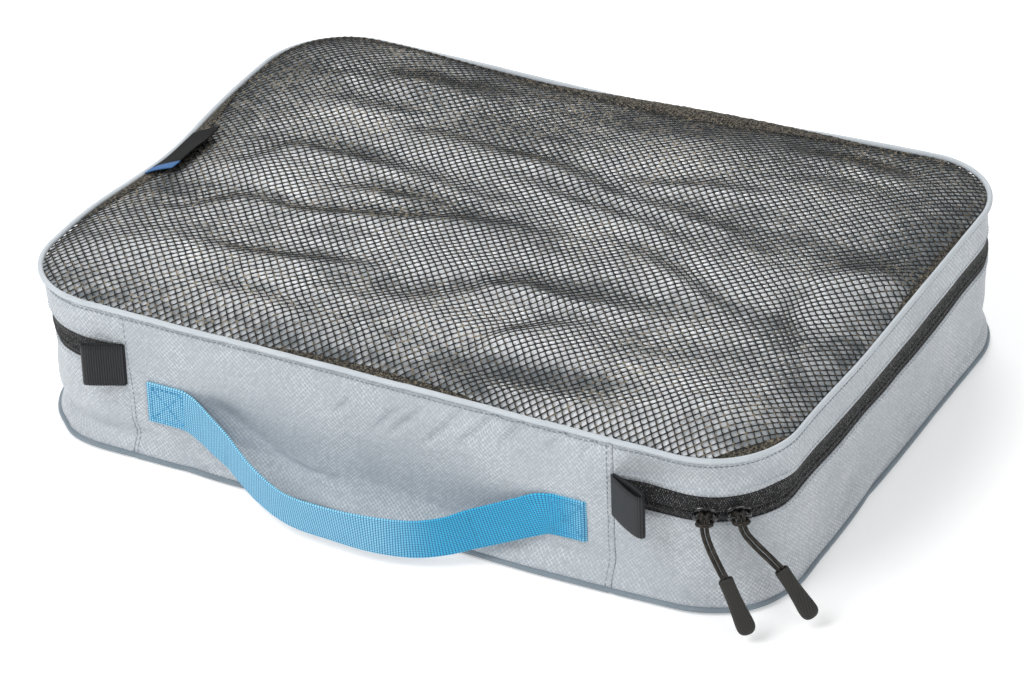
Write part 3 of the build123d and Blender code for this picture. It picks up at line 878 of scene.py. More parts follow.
def crease_offset(x, y, line):
    """Each point's signed distance from a crease, its direction across, and its nearness to the ends."""
    line = smooth_line(np.asarray(line, float) * MM, 40)[0]
    best = np.full(x.shape, 1e9)
    signed, across_x, across_y = np.zeros(x.shape), np.zeros(x.shape), np.zeros(x.shape)
    fade = np.zeros(x.shape)
    for k, (start, end) in enumerate(zip(line[:-1], line[1:])):
        run = end - start
        length = np.hypot(*run)
        along = np.clip(((x - start[0]) * run[0] + (y - start[1]) * run[1]) / length**2, 0, 1)
        off_x, off_y = x - start[0] - run[0] * along, y - start[1] - run[1] * along
        far = np.hypot(off_x, off_y)
        nearer = far < best
        best = np.where(nearer, far, best)
        side_x, side_y = -run[1] / length, run[0] / length
        signed = np.where(nearer, np.where(off_x * side_x + off_y * side_y > 0, far, -far), signed)
        across_x, across_y = np.where(nearer, side_x, across_x), np.where(nearer, side_y, across_y)
        share = (k + along) / (len(line) - 1)
        fade = np.where(nearer, np.sin(math.pi * np.clip(share, 0.02, 0.98)) ** 0.6, fade)
    return signed, across_x, across_y, fade


def fold_creases(lid, x, y):
    """Sink the creases. Each has a low ridge beside it and draws the net in; the film gets painted shade
    along the crease and painted light over the ridge.
    """
    for depth, width, line in CREASES:
        depth, width = 0.45 * depth * MM, 1.45 * width * MM
        signed, across_x, across_y, fade = crease_offset(x, y, line)
        lid["height"] -= depth * fade * bell(signed, 0, width)
        lid["height"] += 0.35 * depth * fade * bell(signed, -1.9 * width, 1.5 * width)
        pull = -0.30 * signed * fade * bell(signed, 0, 2.4 * width)
        lid["drift_x"] += pull * across_x
        lid["drift_y"] += pull * across_y
        # Painted shade along the crease, and painted light over the ridge beside it.
        lid["shade"] -= 0.30 * fade * bell(signed, 0.5 * width, 1.4 * width)
        lid["shade"] += 0.16 * fade * bell(signed, -2.2 * width, 1.6 * width)


def raise_humps(lid, x, y):
    """Raise the film where it presses up against the net, and paint light on it there."""
    for middle_x, middle_y, reach, rise in HUMPS:
        hump = bell(x, middle_x * MM, 1.5 * reach * MM) * bell(y, middle_y * MM, 0.7 * reach * MM)
        lid["height"] += rise * MM * hump
        # Painted light on the hump.
        lid["shade"] += 0.5 * hump


def crowd_edge(lid, x, y, inset):
    """Near the piping the cells crowd together; the film gets painted shade there and towards the back."""
    step_y, step_x = np.gradient(inset, y[1, 0] - y[0, 0], x[0, 1] - x[0, 0])
    crowding = -0.45 * np.maximum(inset, 0) * np.exp(-np.maximum(inset, 0) / (9 * MM))
    crowding *= 1 + 0.5 * bell(y, -HALF_Y, 0.03) * bell(x, 0.0, 0.10)
    lid["drift_x"] += crowding * step_x
    lid["drift_y"] += crowding * step_y
    # Painted shade on the film near the piping, then towards the back.
    lid["shade"] -= 0.34 * np.exp(-np.maximum(inset - 3 * MM, 0) / (5 * MM))
    lid["shade"] -= 0.22 * smooth_step(y, 0.02, 0.15)


def crown_height(x, y, inset):
    """The filled lid's dome, fuller at its far left corner."""
    under_rim = 1.8 * MM
    far_left = bell(x, -0.15, 0.06) * bell(y, 0.12, 0.05)
    shoulder = smooth_step(-x, 0.06, 0.16) * smooth_step(y, 0.06, 0.13)
    crown = 1 - np.exp(-np.maximum(inset - WALL_INSET + 1 * MM, 0) / (20 * MM))
    rise = (CROWN_RISE + under_rim + 3.0 * MM * far_left) * crown
    rise += 4.0 * MM * shoulder * (1 - np.exp(-np.maximum(inset - WALL_INSET, 0) / (4 * MM)))
    return FILM_RIM_Z - under_rim + rise


def make_lid_table():
    """The lid's height, the net's drift and the film's painted light and shade, on a fine grid over the plan.
    """
    reach_x, reach_y = HALF_X + LID_MARGIN, HALF_Y + LID_MARGIN
    columns, rows = int(2 * reach_x / LID_STEP) + 1, int(2 * reach_y / LID_STEP) + 1
    x, y = np.meshgrid(np.linspace(-reach_x, reach_x, columns), np.linspace(-reach_y, reach_y, rows))
    here = np.stack([x.ravel(), y.ravel(), np.zeros(x.size)], -1)

    def waves(size_x, size_y, seed):
        return noise_at(here, (size_x, size_y, 1), seed).reshape(x.shape)

    # The shade entry is the film's painted light and shade, starting as broad waves of it.
    lid = {
        "height": 1.1 * MM * waves(0.12, 0.035, 2.9) + 0.5 * MM * waves(0.03, 0.012, 5.5),
        "drift_x": 3.0 * MM * waves(0.09, 0.07, 11.3) + 0.3 * MM * waves(0.007, 0.007, 3.3),
        "drift_y": 3.0 * MM * waves(0.10, 0.05, 15.9) + 0.3 * MM * waves(0.007, 0.007, 6.6),
        "shade": 0.39 + 0.5 * waves(0.09, 0.028, 21.0) + 0.25 * waves(0.02, 0.007, 25.0),
    }
    inset = edge_inset(x, y)
    fold_creases(lid, x, y)
    raise_humps(lid, x, y)
    crowd_edge(lid, x, y, inset)
    lid["height"] = crown_height(x, y, inset) + lid["height"] * smooth_step(inset, WALL_INSET, 0.030)
    lid["shade"] = np.clip(lid["shade"], 0, 1)
    return lid


def lid_value(kind, x, y):
    """Read a lid table between its grid points."""
    table = LID[kind]
    rows, columns = table.shape
    share_x = (np.asarray(x) / (HALF_X + LID_MARGIN) + 1) / 2
    share_y = (np.asarray(y) / (HALF_Y + LID_MARGIN) + 1) / 2
    column = np.clip(share_x * (columns - 1), 0, columns - 1.001)
    row = np.clip(share_y * (rows - 1), 0, rows - 1.001)
    c, r = column.astype(int), row.astype(int)
    fc, fr = column - c, row - r
    near = table[r, c] * (1 - fc) + table[r, c + 1] * fc
    far = table[r + 1, c] * (1 - fc) + table[r + 1, c + 1] * fc
    return near * (1 - fr) + far * fr


def lid_height(x, y):
    return lid_value("height", x, y)


def settle_lid(points):
    """Settle points of the lid's soft top as the piping round it settles."""
    points = np.asarray(points, float)
    rim = points.copy()
    rim[:, 2] = TOP_PIPING_Z
    return points + settle(rim) - rim


def build_film():
    film = plan_disc("laminate_sheet", 3.0 * MM, 110, 640, lid_height, FILM)
    mesh = film.data
    where = np.empty(len(mesh.vertices) * 3)
    mesh.vertices.foreach_get("co", where)
    where = where.reshape(-1, 3)
    # The shade attribute carries the lid table's painted light and shade onto the film.
    shade = mesh.attributes.new("shade", "FLOAT", "POINT")
    shade.data.foreach_set("value", lid_value("shade", where[:, 0], where[:, 1]))
    mesh.vertices.foreach_set("co", settle_lid(where).ravel())
    mesh.materials.append(FILM_BACK)
    thicken(film, 0.25 * MM, back_slot=1)
    join(film, LID_ROLL, "film", "laminate_film")


# Half the net's diamond along each side of the lid, how much finer it is at the back, how far its
# edge lies inside the outline, and its thread's radius.
NET_HALF_X = 2.4 * MM
NET_HALF_Y = 2.58 * MM
NET_TAPER = 0.055
NET_EDGE = 2.4 * MM
THREAD_RADIUS = 0.41 * MM


def net_warp(x, y):
    """The net's drift over the film: finer cells towards the back, drawn in at the creases."""
    y = y + NET_TAPER * (HALF_Y - y * y / HALF_Y)
    return x + lid_value("drift_x", x, y), y + lid_value("drift_y", x, y)


def net_segments(slant):
    """The plan ends of the threads that run one way between the diamond net's knots."""
    columns = int(HALF_X / NET_HALF_X) + 5
    rows = int(HALF_Y / NET_HALF_Y) + 6
    i, j = np.meshgrid(np.arange(-columns, columns + 1), np.arange(-rows, rows + 1), indexing="ij")
    knots = (i + j) % 2 == 0
    i, j = i[knots], j[knots]
    a = np.stack(net_warp(i * NET_HALF_X, j * NET_HALF_Y), -1)
    b = np.stack(net_warp((i + 1) * NET_HALF_X, (j + slant) * NET_HALF_Y), -1)
    inset_a, inset_b = edge_inset(*a.T), edge_inset(*b.T)
    keep = (inset_a > NET_EDGE) | (inset_b > NET_EDGE)
    a, b, inset_a, inset_b = a[keep], b[keep], inset_a[keep], inset_b[keep]
    # Threads that cross the net's edge are cut there.
    span = np.where(np.abs(inset_b - inset_a) < 1e-9, 1e-9, inset_b - inset_a)
    crossing = a + (b - a) * np.clip((NET_EDGE - inset_a) / span, 0, 1)[:, None]
    a = np.where((inset_a < NET_EDGE)[:, None], crossing, a)
    b = np.where((inset_b < NET_EDGE)[:, None], crossing, b)
    return a, b


def build_net_threads(name, slant, radius, *nodes):
    """The threads that run one way, each a four-sided bar, thicker at its knots and bowed between."""
    a, b = net_segments(slant)
    sides = 4
    across = np.stack([-(b - a)[:, 1], (b - a)[:, 0]], -1)
    across /= np.maximum(np.linalg.norm(across, axis=1), 1e-9)[:, None]
    rings = []
    for share, swell in ((0.0, 1.25), (0.5, 0.9), (1.0, 1.25)):
        middle = math.sin(math.pi * share)
        plan = a + (b - a) * share + across * 0.28 * MM * slant * middle
        z = lid_height(plan[:, 0], plan[:, 1]) + NET_LIFT - 0.35 * MM * middle
        for turn in full_turn(sides) + math.pi / 4:
            side = across * (math.cos(turn) * radius * swell)
            rings.append(np.column_stack([plan + side, z + math.sin(turn) * radius * swell]))
    points = settle_lid(np.stack(rings, 1).reshape(-1, 3))
    one = grid_faces(3, sides, closed=True)
    faces = (one[None] + (np.arange(len(a)) * 3 * sides)[:, None, None]).reshape(-1, 4)
    join(make_piece(name, points, faces, NET), LID_ROLL, "net", *nodes)


def build_net():
    build_net_threads("net_threads_rising", 1, 0.92 * THREAD_RADIUS, "net_panel")
    build_net_threads("net_threads_falling", -1, 1.12 * THREAD_RADIUS)


# Where the net's folded edge shows: distances along the outline, and the fold's reach and rise.
BACK_RUN = RUN_X + RUN_Y + 2 * ARC
LEFT_RUN = BACK_RUN + RUN_X + ARC
NET_FOLDS = [
    (BACK_RUN + RUN_X / 2 - 0.135, BACK_RUN + RUN_X / 2 + 0.065, 12 * MM, 4.6 * MM),
    (LEFT_RUN + 0.030, LEFT_RUN + 0.200, 9 * MM, 1.1 * MM),
    (RUN_X + 0.25 * ARC, RUN_X + 0.95 * ARC, 7 * MM, 0.8 * MM),
    (RUN_X + ARC + 0.105, RUN_X + ARC + RUN_Y, 4.5 * MM, 0.3 * MM),
    (front_s(-0.085), front_s(0.075), 6.5 * MM, 0.4 * MM),
]


def build_net_folds():
    """The dense folded strips of net that lie inside the piping."""
    profile = np.linspace(0, 1, 15)
    for number, (start, end, reach, rise) in enumerate(NET_FOLDS, 1):
        columns = int((end - start) / (0.8 * MM))
        x, y, nx, ny = outline_point(np.linspace(start, end, columns))
        swell = np.sin(math.pi * np.linspace(0, 1, columns)) ** 0.7
        rows = []
        for share in profile:
            here = np.stack([x, y, np.full(columns, share * 0.02)], -1)
            wander = 1.0 * MM * noise_at(here, (0.02, 0.02, 0.01), 2.0)
            inset = 2.6 * MM + share * (reach + wander) * swell
            px, py = x - nx * inset, y - ny * inset
            crumple = 0.55 * MM * noise_at(here, (0.0019, 0.0019, 0.0022), 8.0)
            # The fold is highest close to the piping and slopes down to the net.
            hood = rise * swell**1.5 * math.sin(math.pi * min(1, share + 0.08) ** 0.55) ** 0.8
            rows.append(np.stack([px, py, lid_height(px, py) + NET_LIFT - 0.2 * MM + hood + crumple], -1))
        points = settle_lid(np.concatenate(rows))
        piece = make_piece(f"net_fold_{number}", points, grid_faces(len(profile), columns), FOLD)
        join(thicken(piece, 0.5 * MM), LID_ROLL, "net")


# ------------------------------------------------------------------ handle
STRAP_WIDTH = 25 * MM
STRAP_THICKNESS = 1.5 * MM
LEFT_END_LOW, LEFT_END_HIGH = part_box("handle_end_left")
RIGHT_END_LOW, RIGHT_END_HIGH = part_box("handle_end_right")
STRAP_LOW, STRAP_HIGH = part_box("handle_strap")
# The strap's centre line: x, distance from the front face, z in millimetres, and its lean in degrees.
STRAP_LINE = [
    (-140, 1.7, 39.5, 0), (-128, 1.7, 39.5, 0), (-117, 2.1, 39.3, 0), (-107, 5.4, 37.4, -1),
    (-96, 10.8, 35.2, -3), (-84, 16.4, 32.6, -6), (-62, 27.6, 25.4, -9), (-40, 34.0, 20.0, -13),
    (-15, 36.5, 19.9, -13), (10, 36.0, 20.0, -8), (32, 30.5, 19.6, -6), (48, 22.8, 21.2, -5),
    (60, 15.6, 24.6, -1), (74, 9.0, 28.8, 0), (86, 4.4, 33.0, 0), (96, 2.2, 36.6, 0),
    (108, 1.7, 37.3, 0), (117.2, 1.6, 37.4, 0), (119.0, 0.2, 37.4, 0),
]


def smooth_line(points, count):
    """A Catmull-Rom line through points, evenly sampled, with its own length at each sample."""
    points = np.asarray(points, float)
    padded = np.vstack([2 * points[0] - points[1], points, 2 * points[-1] - points[-2]])
    fine = []
    for p0, p1, p2, p3 in zip(padded, padded[1:], padded[2:], padded[3:]):
        for t in np.linspace(0, 1, 24, endpoint=False):
            fine.append(0.5 * (
                2 * p1 + (p2 - p0) * t + (2 * p0 - 5 * p1 + 4 * p2 - p3) * t**2
                + (3 * p1 - p0 - 3 * p2 + p3) * t**3
            ))
    fine.append(points[-1])
    fine = np.array(fine)
    length = np.concatenate([[0], np.cumsum(np.linalg.norm(np.diff(fine[:, :3], axis=0), axis=1))])
    even = np.linspace(0, length[-1], count)
    return np.stack([np.interp(even, length, fine[:, k]) for k in range(fine.shape[1])], -1), even


def ribbon_section(width, thickness, columns=14):
    """A flat strap's outline as (across, through), with rounded edges."""
    half = width / 2 - thickness / 2
    flat = np.linspace(-half, half, columns)
    bend = np.linspace(-math.pi / 2, math.pi / 2, 6)[1:-1]
    radius = thickness / 2
    upper = [(u, radius) for u in flat]
    right = [(half + radius * math.cos(b), -radius * math.sin(b)) for b in bend]
    lower = [(u, -radius) for u in flat[::-1]]
    left = [(-half - radius * math.cos(b), radius * math.sin(b)) for b in bend]
    return np.array(upper + right + lower + left)


def strap_piece(name, centres, widths, faces_out, lengths, width, thickness):
    """A strap swept along centres, with its width and outward directions at each."""
    section = ribbon_section(width, thickness)
    across, through = section[None, :, 0, None], section[None, :, 1, None]
    points = centres[:, None] + across * widths[:, None] + through * faces_out[:, None]
    rings, sides = len(centres), len(section)
    uv = np.stack([np.repeat(lengths, sides), np.tile(section[:, 0] + 0.5 * width, rings)], -1)
    faces = grid_faces(rings, sides, closed=True).tolist()
    faces.append(list(range(sides))[::-1])
    faces.append([(rings - 1) * sides + k for k in range(sides)])
    return make_piece(name, points.reshape(-1, 3), faces, WEBBING, uv)


def build_handle():
    line = np.array(STRAP_LINE, float) * (1, -1, 1, 1)
    samples, lengths = smooth_line(line, 420)
    centres = samples[:, :3] * MM + (0, FRONT_Y, 0)
    ahead = unit(np.gradient(centres, axis=0))
    tilt = np.radians(samples[:, 3])
    widths = np.stack([np.zeros(len(tilt)), np.sin(tilt), np.cos(tilt)], -1)
    widths = unit(widths - ahead * (widths * ahead).sum(1)[:, None])
    outward = -np.cross(ahead, widths)
    outward *= np.sign(-outward[:, 1])[:, None]
    left, right = np.searchsorted(centres[:, 0], (STRAP_LOW.x, STRAP_HIGH.x))
    spans = (("left_run", 0, left), ("middle", left, right), ("right_run", right, len(centres) - 1))
    runs = []
    for name, first, final in spans:
        part = slice(first, final + 1)
        run = strap_piece(
            f"handle_{name}", centres[part], widths[part], outward[part], lengths[part] * MM,
            STRAP_WIDTH, STRAP_THICKNESS
        )
        runs.append(run)
    left_run, middle, right_run = runs
    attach(middle, "handle")
    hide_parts("handle_strap")
    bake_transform(left_run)
    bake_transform(right_run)
    build_handle_end("left", LEFT_END_LOW, LEFT_END_HIGH)
    build_handle_end("right", RIGHT_END_LOW, RIGHT_END_HIGH)


def build_handle_end(side, low, high):
    """A sewn end: the strap's tucked ply, and the box and cross of stitching that holds it down."""
    count = 26
    x = np.linspace(low.x + 2 * MM, high.x - 2 * MM, count)
    centres = np.stack([x, np.full(count, FRONT_Y - 1.0 * MM), np.full(count, (low.z + high.z) / 2)], -1)
    upward = np.tile([0.0, 0.0, 1.0], (count, 1))
    outward = np.tile([0.0, -1.0, 0.0], (count, 1))
    ply = strap_piece(
        f"handle_ply_{side}", centres, upward, outward, x - low.x, STRAP_WIDTH - 0.6 * MM, 0.7 * MM
    )
    join(ply, "base", "webbing", f"handle_end_{side}")
    inset = 2.6 * MM
    face_y = FRONT_Y - 2.5 * MM
    x0, x1, z0, z1 = low.x + inset, high.x - inset, low.z + inset, high.z - inset
    corners = np.array([(x0, face_y, z0), (x1, face_y, z0), (x1, face_y, z1), (x0, face_y, z1)])
    starts, ends = [], []
    for first, last in ((0, 1), (1, 2), (2, 3), (3, 0), (0, 2), (1, 3)):
        run = corners[last] - corners[first]
        steps = max(2, int(round(np.linalg.norm(run) / (2.6 * MM))))
        for k in range(steps):
            starts.append(corners[first] + run * (k + 0.1) / steps)
            ends.append(corners[first] + run * (k + 0.85) / steps)
    outward = np.tile([0.0, -1.0, 0.0], (len(starts), 1))
    stitch_mesh(f"handle_stitches_{side}", starts, ends, outward, BLUE_THREAD, "base", "webbing", 0.3 * MM)


# ------------------------------------------------------------------ grab loops
def ribbon_loop(name, path, bottom, top, body, *nodes):
    """A folded loop of ribbed ribbon: a plan path raised between two heights."""
    samples, lengths = smooth_line(path, 420)
    lengths = lengths * MM
    plan = samples * MM
    ahead = unit(np.gradient(plan, axis=0))
    normal = np.stack([ahead[:, 1], -ahead[:, 0]], -1)
    phase = lengths * (2 * math.pi / RIB_PITCH)
    plan = plan + normal * (0.2 * MM * np.sin(phase))[:, None]
    scallop = 0.15 * MM * np.cos(phase)
    rows = 9
    points, uv = [], []
    for k, z in enumerate(np.linspace(bottom, top, rows)):
        edge = scallop * (-1 if k == 0 else 1 if k == rows - 1 else 0)
        points.append(np.column_stack([plan, z + edge]))
        uv.append(np.column_stack([lengths, np.full(len(lengths), z)]))
    faces = grid_faces(rows, len(plan))
    piece = make_piece(name, np.concatenate(points), faces, RIBBON, np.concatenate(uv))
    join(thicken(piece, 0.9 * MM, 0.0), body, "ribbon", *nodes)


# How far each loop stands off the wall at rest, in degrees.
LEFT_LOOP_ANGLE = 22.0
RIGHT_LOOP_ANGLE = 28.5


def turned_path(points, joint_name, degrees):
    """Plan points (along, across) in millimetres, set down at a joint and turned."""
    x, y, _ = joint_named(joint_name)["pos_m"]
    c, s = math.cos(math.radians(degrees)), math.sin(math.radians(degrees))
    return [(x / MM + u * c - v * s, y / MM + u * s + v * c) for u, v in points]


def joint_named(name):
    return next(joint for joint in frame["joints"] if joint["name"] == name)


def build_grab_loops():
    low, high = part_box("tab_left")
    path = [(-1, 0.75), (7, 0.95), (14, 1.3), (18.6, 1.3), (20.7, 0.85), (21.3, 0),
            (20.7, -0.85), (18.6, -1.2), (14, -1.2), (7, -0.95), (-1, -0.75)]
    path = turned_path(path, "tab_left_swing", 180 + LEFT_LOOP_ANGLE)
    ribbon_loop("grab_loop_left", path, low.z, high.z, "tab_left", "tab_left")
    # The loop's sewn end lies flat on the wall between the front seam and the fold it swings on.
    face_y = FRONT_Y / MM
    seam_x = LEFT_SEAM / MM - 1.4
    fold_x = joint_named("tab_left_swing")["pos_m"][0] / MM + 0.1
    root = [(seam_x, face_y - 0.6), ((seam_x + fold_x) / 2, face_y - 0.7), (fold_x, face_y - 0.8)]
    ribbon_loop("grab_loop_left_sewn_end", root, low.z, high.z, "base")
    low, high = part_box("tab_right")
    outer = [(0, 0.7), (4, 1.2), (11, 2.1), (18, 2.4), (23.4, 2.1), (25.7, 1.2)]
    path = outer + [(26.3, 0)] + [(u, -v) for u, v in outer[::-1]]
    path = turned_path(path, "tab_right_swing", -RIGHT_LOOP_ANGLE)
    ribbon_loop("grab_loop_right", path, low.z, high.z, "tab_right", "tab_right")


# ------------------------------------------------------------------ sliders and pulls
PULL_LEAN = math.radians(19.5)
CORD_RADIUS = 1.1 * MM
# Each pull's cord in millimetres, as (towards the front, outward, up) from its bridge bar.
PULL_ROUTES = {
    "a": [
        (-10.2, 2.2, -31.0), (-4.1, 2.2, -20.0), (1.2, 2.2, -7.15), (1.2, 2.2, 2.3),
        (2.4, -2.2, 2.3), (3.5, -2.2, -2.3), (3.8, 4.8, -2.3),
        (-3.8, 4.8, -2.3), (-3.5, -2.2, -2.3), (-2.4, -2.2, 2.3),
        (-1.2, 2.2, 2.3), (-1.2, 2.2, -6.85), (-6.3, 2.2, -19.2), (-12.3, 2.2, -30.05),
    ],
    "b": [
        (-16.9, 2.2, -30.6), (-7.3, 2.2, -18.9), (1.2, 2.2, -7.2), (1.2, 2.2, 2.3),
        (2.4, -2.2, 2.3), (3.5, -2.2, -2.3), (3.8, 4.8, -2.3),
        (-3.8, 4.8, -2.3), (-3.5, -2.2, -2.3), (-2.4, -2.2, 2.3),
        (-1.2, 2.2, 2.3), (-1.2, 2.2, -6.8), (-9.5, 2.2, -17.6), (-18.95, 2.2, -29.55),
    ],
}


def joint_frame(joint_name, lean=0.0):
    """A place on the corner as a matrix: x towards the front, y outward, z up, tipped by a lean."""
    joint = joint_named(joint_name)
    up = Vector((0, 0, 1))
    to_front = Vector(joint["axis"]).normalized()
    basis = Matrix((to_front, up.cross(to_front), up)).transposed().to_4x4()
    return Matrix.Translation(joint["pos_m"]) @ basis @ Matrix.Rotation(lean, 4, "X")


def slider_part(name, rows, columns, place, letter, *nodes):
    """A closed lacquered form from rings of points in millimetres, set down on the corner."""
    faces = grid_faces(len(rows), columns, closed=True)
    part = make_piece(f"slider_{name}_{letter}", np.concatenate(rows) * MM, faces, LACQUER)
    part.data.transform(place)
    join(part, f"slider_{letter}", "slider", *nodes)


def build_slider(letter):
    """The slider: a domed body, the bridge its pull hangs from, and the inner plate on its neck."""
    place = joint_frame(f"pull_{letter}_swing")
    build_slider_body(letter, place)
    build_slider_bridge(letter, place)
    # The tape's inner side, in millimetres from the bridge bar.
    tape_back = -9.1
    rounded_block("back", (6.2, 0.9, 2.3), (0, tape_back - 1.7, -2.6), letter, place)
    rounded_block("neck", (3.0, 2.2, 0.3), (0, tape_back + 1.4, -0.5), letter, place)


def build_slider_body(letter, place):
    """The body, in millimetres: its sides rise from the tape over the first rows, then dome over."""
    half_length, half_height, back, front = 6.6, 4.9, -5.5, -3.4
    # The share of the rows that rise before the dome begins, and the radius it is bent to.
    rim, bend = 0.8, 48
    columns = 40
    wave_x, wave_z = squarish(full_turn(columns), 0.6)
    taper = 1 - 0.18 * np.abs(wave_x) ** 2
    rows = []
    for share in np.linspace(0, 1, 15):
        if share < rim:
            shrink, dome = math.sin(share / rim * math.pi / 2) ** 0.5, 0
        else:
            shrink = 1 - (share - rim) / (1 - rim)
            dome = 0.5 * (1 - shrink**2)
        x = half_length * wave_x * shrink
        y = back + (front - back) * min(1.0, share / rim) + dome - x**2 / (2 * bend)
        rows.append(np.stack([x, y, half_height * wave_z * shrink * taper - 0.25], -1))
    slider_part("body", rows, columns, place, letter, f"slider_{letter}")


def build_slider_bridge(letter, place):
    """The arched bridge, in millimetres, taller where it meets the body."""
    half = [(-6.0, -4.4, 0), (-6.0, -2.6, 0), (-5.6, -0.9, 0), (-4.4, -0.1, 0)]
    line, _ = smooth_line(half + [(0, 0.1, 0)] + [(-x, y, z) for x, y, z in half[::-1]], 60)
    side = np.cross(unit(np.gradient(line, axis=0)), [0, 0, 1])
    tall = 1.0 + 0.9 * smooth_step(np.abs(line[:, 0]), 4.2, 6.0)
    columns = 16
    turn = full_turn(columns)[:, None]
    up = np.array([0, 0, 0.85])
    rows = [
        middle + 0.72 * np.cos(turn) * across + height * np.sin(turn) * up
        for middle, across, height in zip(line, side, tall)
    ]
    slider_part("bridge", rows, columns, place, letter)


def rounded_block(name, half_size, middle, letter, place):
    """A soft-cornered block of the slider's inner side, seen when the lid is open."""
    columns = 28
    wave_x, wave_z = squarish(full_turn(columns), 0.5)
    rows = []
    for polar in np.linspace(-math.pi / 2, math.pi / 2, 9):
        reach = max(math.cos(polar), 1e-3) ** 0.4
        depth = math.copysign(abs(math.sin(polar)) ** 0.4, math.sin(polar))
        ring = np.stack([reach * wave_x, np.full(columns, depth), reach * wave_z], -1)
        rows.append(np.array(middle) + np.array(half_size) * ring)
    slider_part(name, rows, columns, place, letter)


def build_pull(letter):
    """A pull's hitched cord and its moulded grip."""
    route = [Vector(p) * MM for p in PULL_ROUTES[letter]]
    place = joint_frame(f"pull_{letter}_swing", PULL_LEAN)
    grip = build_grip(letter, route, place)
    curve = bpy.data.curves.new(f"pull_cord_line_{letter}", "CURVE")
    curve.dimensions = "3D"
    spline = curve.splines.new("NURBS")
    spline.points.add(len(route) - 1)
    for point, where in zip(spline.points, route):
        point.co = (*(place @ where), 1)
    spline.order_u = 3
    spline.use_endpoint_u = True
    spline.resolution_u = 12
    curve.bevel_depth = CORD_RADIUS
    curve.bevel_resolution = 5
    curve.materials.append(CORD)
    cord = add_object(f"pull_braid_{letter}", curve)
    join(cord, f"pull_{letter}", "pull_cord", f"pull_cord_{letter}")


# The grip's outline in millimetres: distance from the cord's end, half width and half depth.
GRIP_PROFILE = [
    (-0.3, 3.1, 2.1), (0.1, 3.7, 2.5), (0.9, 3.9, 2.7), (4, 3.85, 2.65), (11, 3.9, 2.7),
    (18, 4.35, 2.85), (24, 4.85, 3.0), (27.5, 4.8, 2.95), (29.6, 3.9, 2.4), (30.8, 2.2, 1.5),
    (31.2, 0.3, 0.2),
]


def build_grip(letter, route, place):
    """The moulded grip: a flared tongue with a rounded foot."""
    top = (route[0] + route[-1]) / 2
    across = (route[-1] - route[0]).normalized()
    down = Vector((-across.z, 0, across.x))
    through = down.cross(across)
    profile, _ = smooth_line(GRIP_PROFILE, 60)
    columns = 40
    wave_x, wave_y = squarish(full_turn(columns), 0.62)
    points, uv = [], []
    for distance, half_width, half_depth in profile * MM:
        wide, deep = half_width * wave_x, half_depth * wave_y
        points.append(np.array(top + down * distance) + np.outer(wide, across) + np.outer(deep, through))
        uv.append(np.column_stack([wide, np.full(columns, distance)]))
    faces = grid_faces(len(profile), columns, closed=True)
    grip = make_piece(f"pull_tongue_{letter}", np.concatenate(points), faces, GRIP, np.concatenate(uv))
    grip.data.transform(place)
    return join(grip, f"pull_{letter}", "grip", f"pull_grip_{letter}")


# ------------------------------------------------------------------ tag
def build_label():
    """The woven tag, lying over the net from the left seam with a slightly lifted edge."""
    low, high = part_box("side_label")
    rows, columns = 60, 16
    y = np.repeat(np.linspace(low.y, high.y, rows), columns)
    across = np.tile(np.linspace(0, 1, columns), rows)
    # Its free edge lifts off the net, and its sewn edge is pressed down.
    x = low.x - 0.6 * MM + across * (high.x - low.x + 3.0 * MM)
    z = np.maximum(lid_height(x, y), FILM_RIM_Z - 1 * MM) + NET_LIFT + 1.9 * MM + 3.0 * MM * across**1.3
    z += 0.25 * MM * np.sin(y * 190 + across * 3)
    z -= 0.6 * MM * (1 - smooth_step(across, 0, 0.15))
    points = settle_lid(np.stack([x, y, z], -1))
    uv = np.column_stack([y - low.y, x - low.x])
    label = make_piece("woven_tag", points, grid_faces(rows, columns), LABEL, uv)
    join(thicken(label, 0.6 * MM), "label", "label", "side_label")


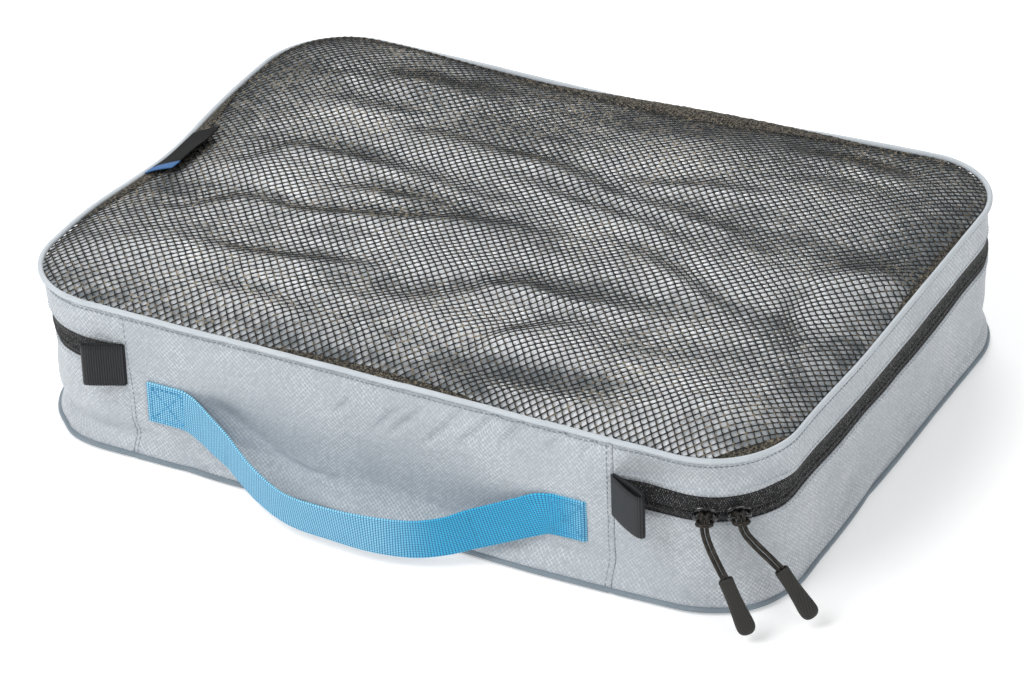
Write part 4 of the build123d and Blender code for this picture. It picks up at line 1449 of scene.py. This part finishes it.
# ------------------------------------------------------------------ stage
def direction(azimuth, elevation):
    """The unit direction from the cube, in degrees, with azimuth from the front towards the right."""
    a, e = math.radians(azimuth), math.radians(elevation)
    return Vector((math.sin(a) * math.cos(e), -math.cos(a) * math.cos(e), math.sin(e)))


def add_camera():
    """The camera that sees the cube from above its near right corner."""
    target, distance, roll = Vector((7.5, -26.4, 40.0)) * MM, 3.215, math.radians(-2.25)
    back = direction(28.6, 33.46)
    right = (-back).cross(Vector((0, 0, 1))).normalized()
    basis = Matrix((right, right.cross(-back), back)).transposed().to_4x4()
    data = bpy.data.cameras.new("camera")
    data.sensor_width = 36
    data.lens = 211
    data.clip_end = 50
    camera = add_object("camera", data)
    camera.matrix_world = Matrix.Translation(target + back * distance) @ basis @ Matrix.Rotation(roll, 4, "Z")
    bpy.context.scene.camera = camera


def add_softbox(name, azimuth, elevation, distance, size, power):
    """A square area light that faces the cube from a direction."""
    back = direction(azimuth, elevation)
    data = bpy.data.lights.new(name, "AREA")
    data.shape = "SQUARE"
    data.size = size
    data.energy = power
    lamp = add_object(name, data)
    lamp.location = back * distance
    lamp.rotation_euler = back.to_track_quat("Z", "Y").to_euler()


def build_stage():
    pale = Shader("floor", (0.92, 0.92, 0.92), 0.9, Emission_Color=(1, 1, 1, 1), Emission_Strength=0.3)
    reach = 6
    corners = [(-reach, -reach, 0), (reach, -reach, 0), (reach, reach, 0), (-reach, reach, 0)]
    floor = make_piece("floor", corners, [(0, 1, 2, 3)], pale.material)
    floor.location.z = -0.2 * MM
    world = bpy.data.worlds.new("studio")
    world.use_nodes = True
    background = world.node_tree.nodes["Background"]
    background.inputs["Color"].default_value = (1, 1, 1, 1)
    background.inputs["Strength"].default_value = 0.42
    bpy.context.scene.world = world
    bpy.context.scene.view_settings.view_transform = "Standard"
    add_softbox("key", -30, 48, 2.2, 1.2, 26)
    add_softbox("fill", 62, 30, 2.4, 1.2, 10)
    add_softbox("glint", 205, 38, 2.2, 1.1, 20)
    add_camera()


LID = make_lid_table()
build_edges()
build_base_panel()
build_net()
build_film()
build_net_folds()
build_walls()
build_zip()
build_stitching()
build_handle()
build_grab_loops()
for letter in ("a", "b"):
    build_slider(letter)
    build_pull(letter)
build_label()
build_stage()
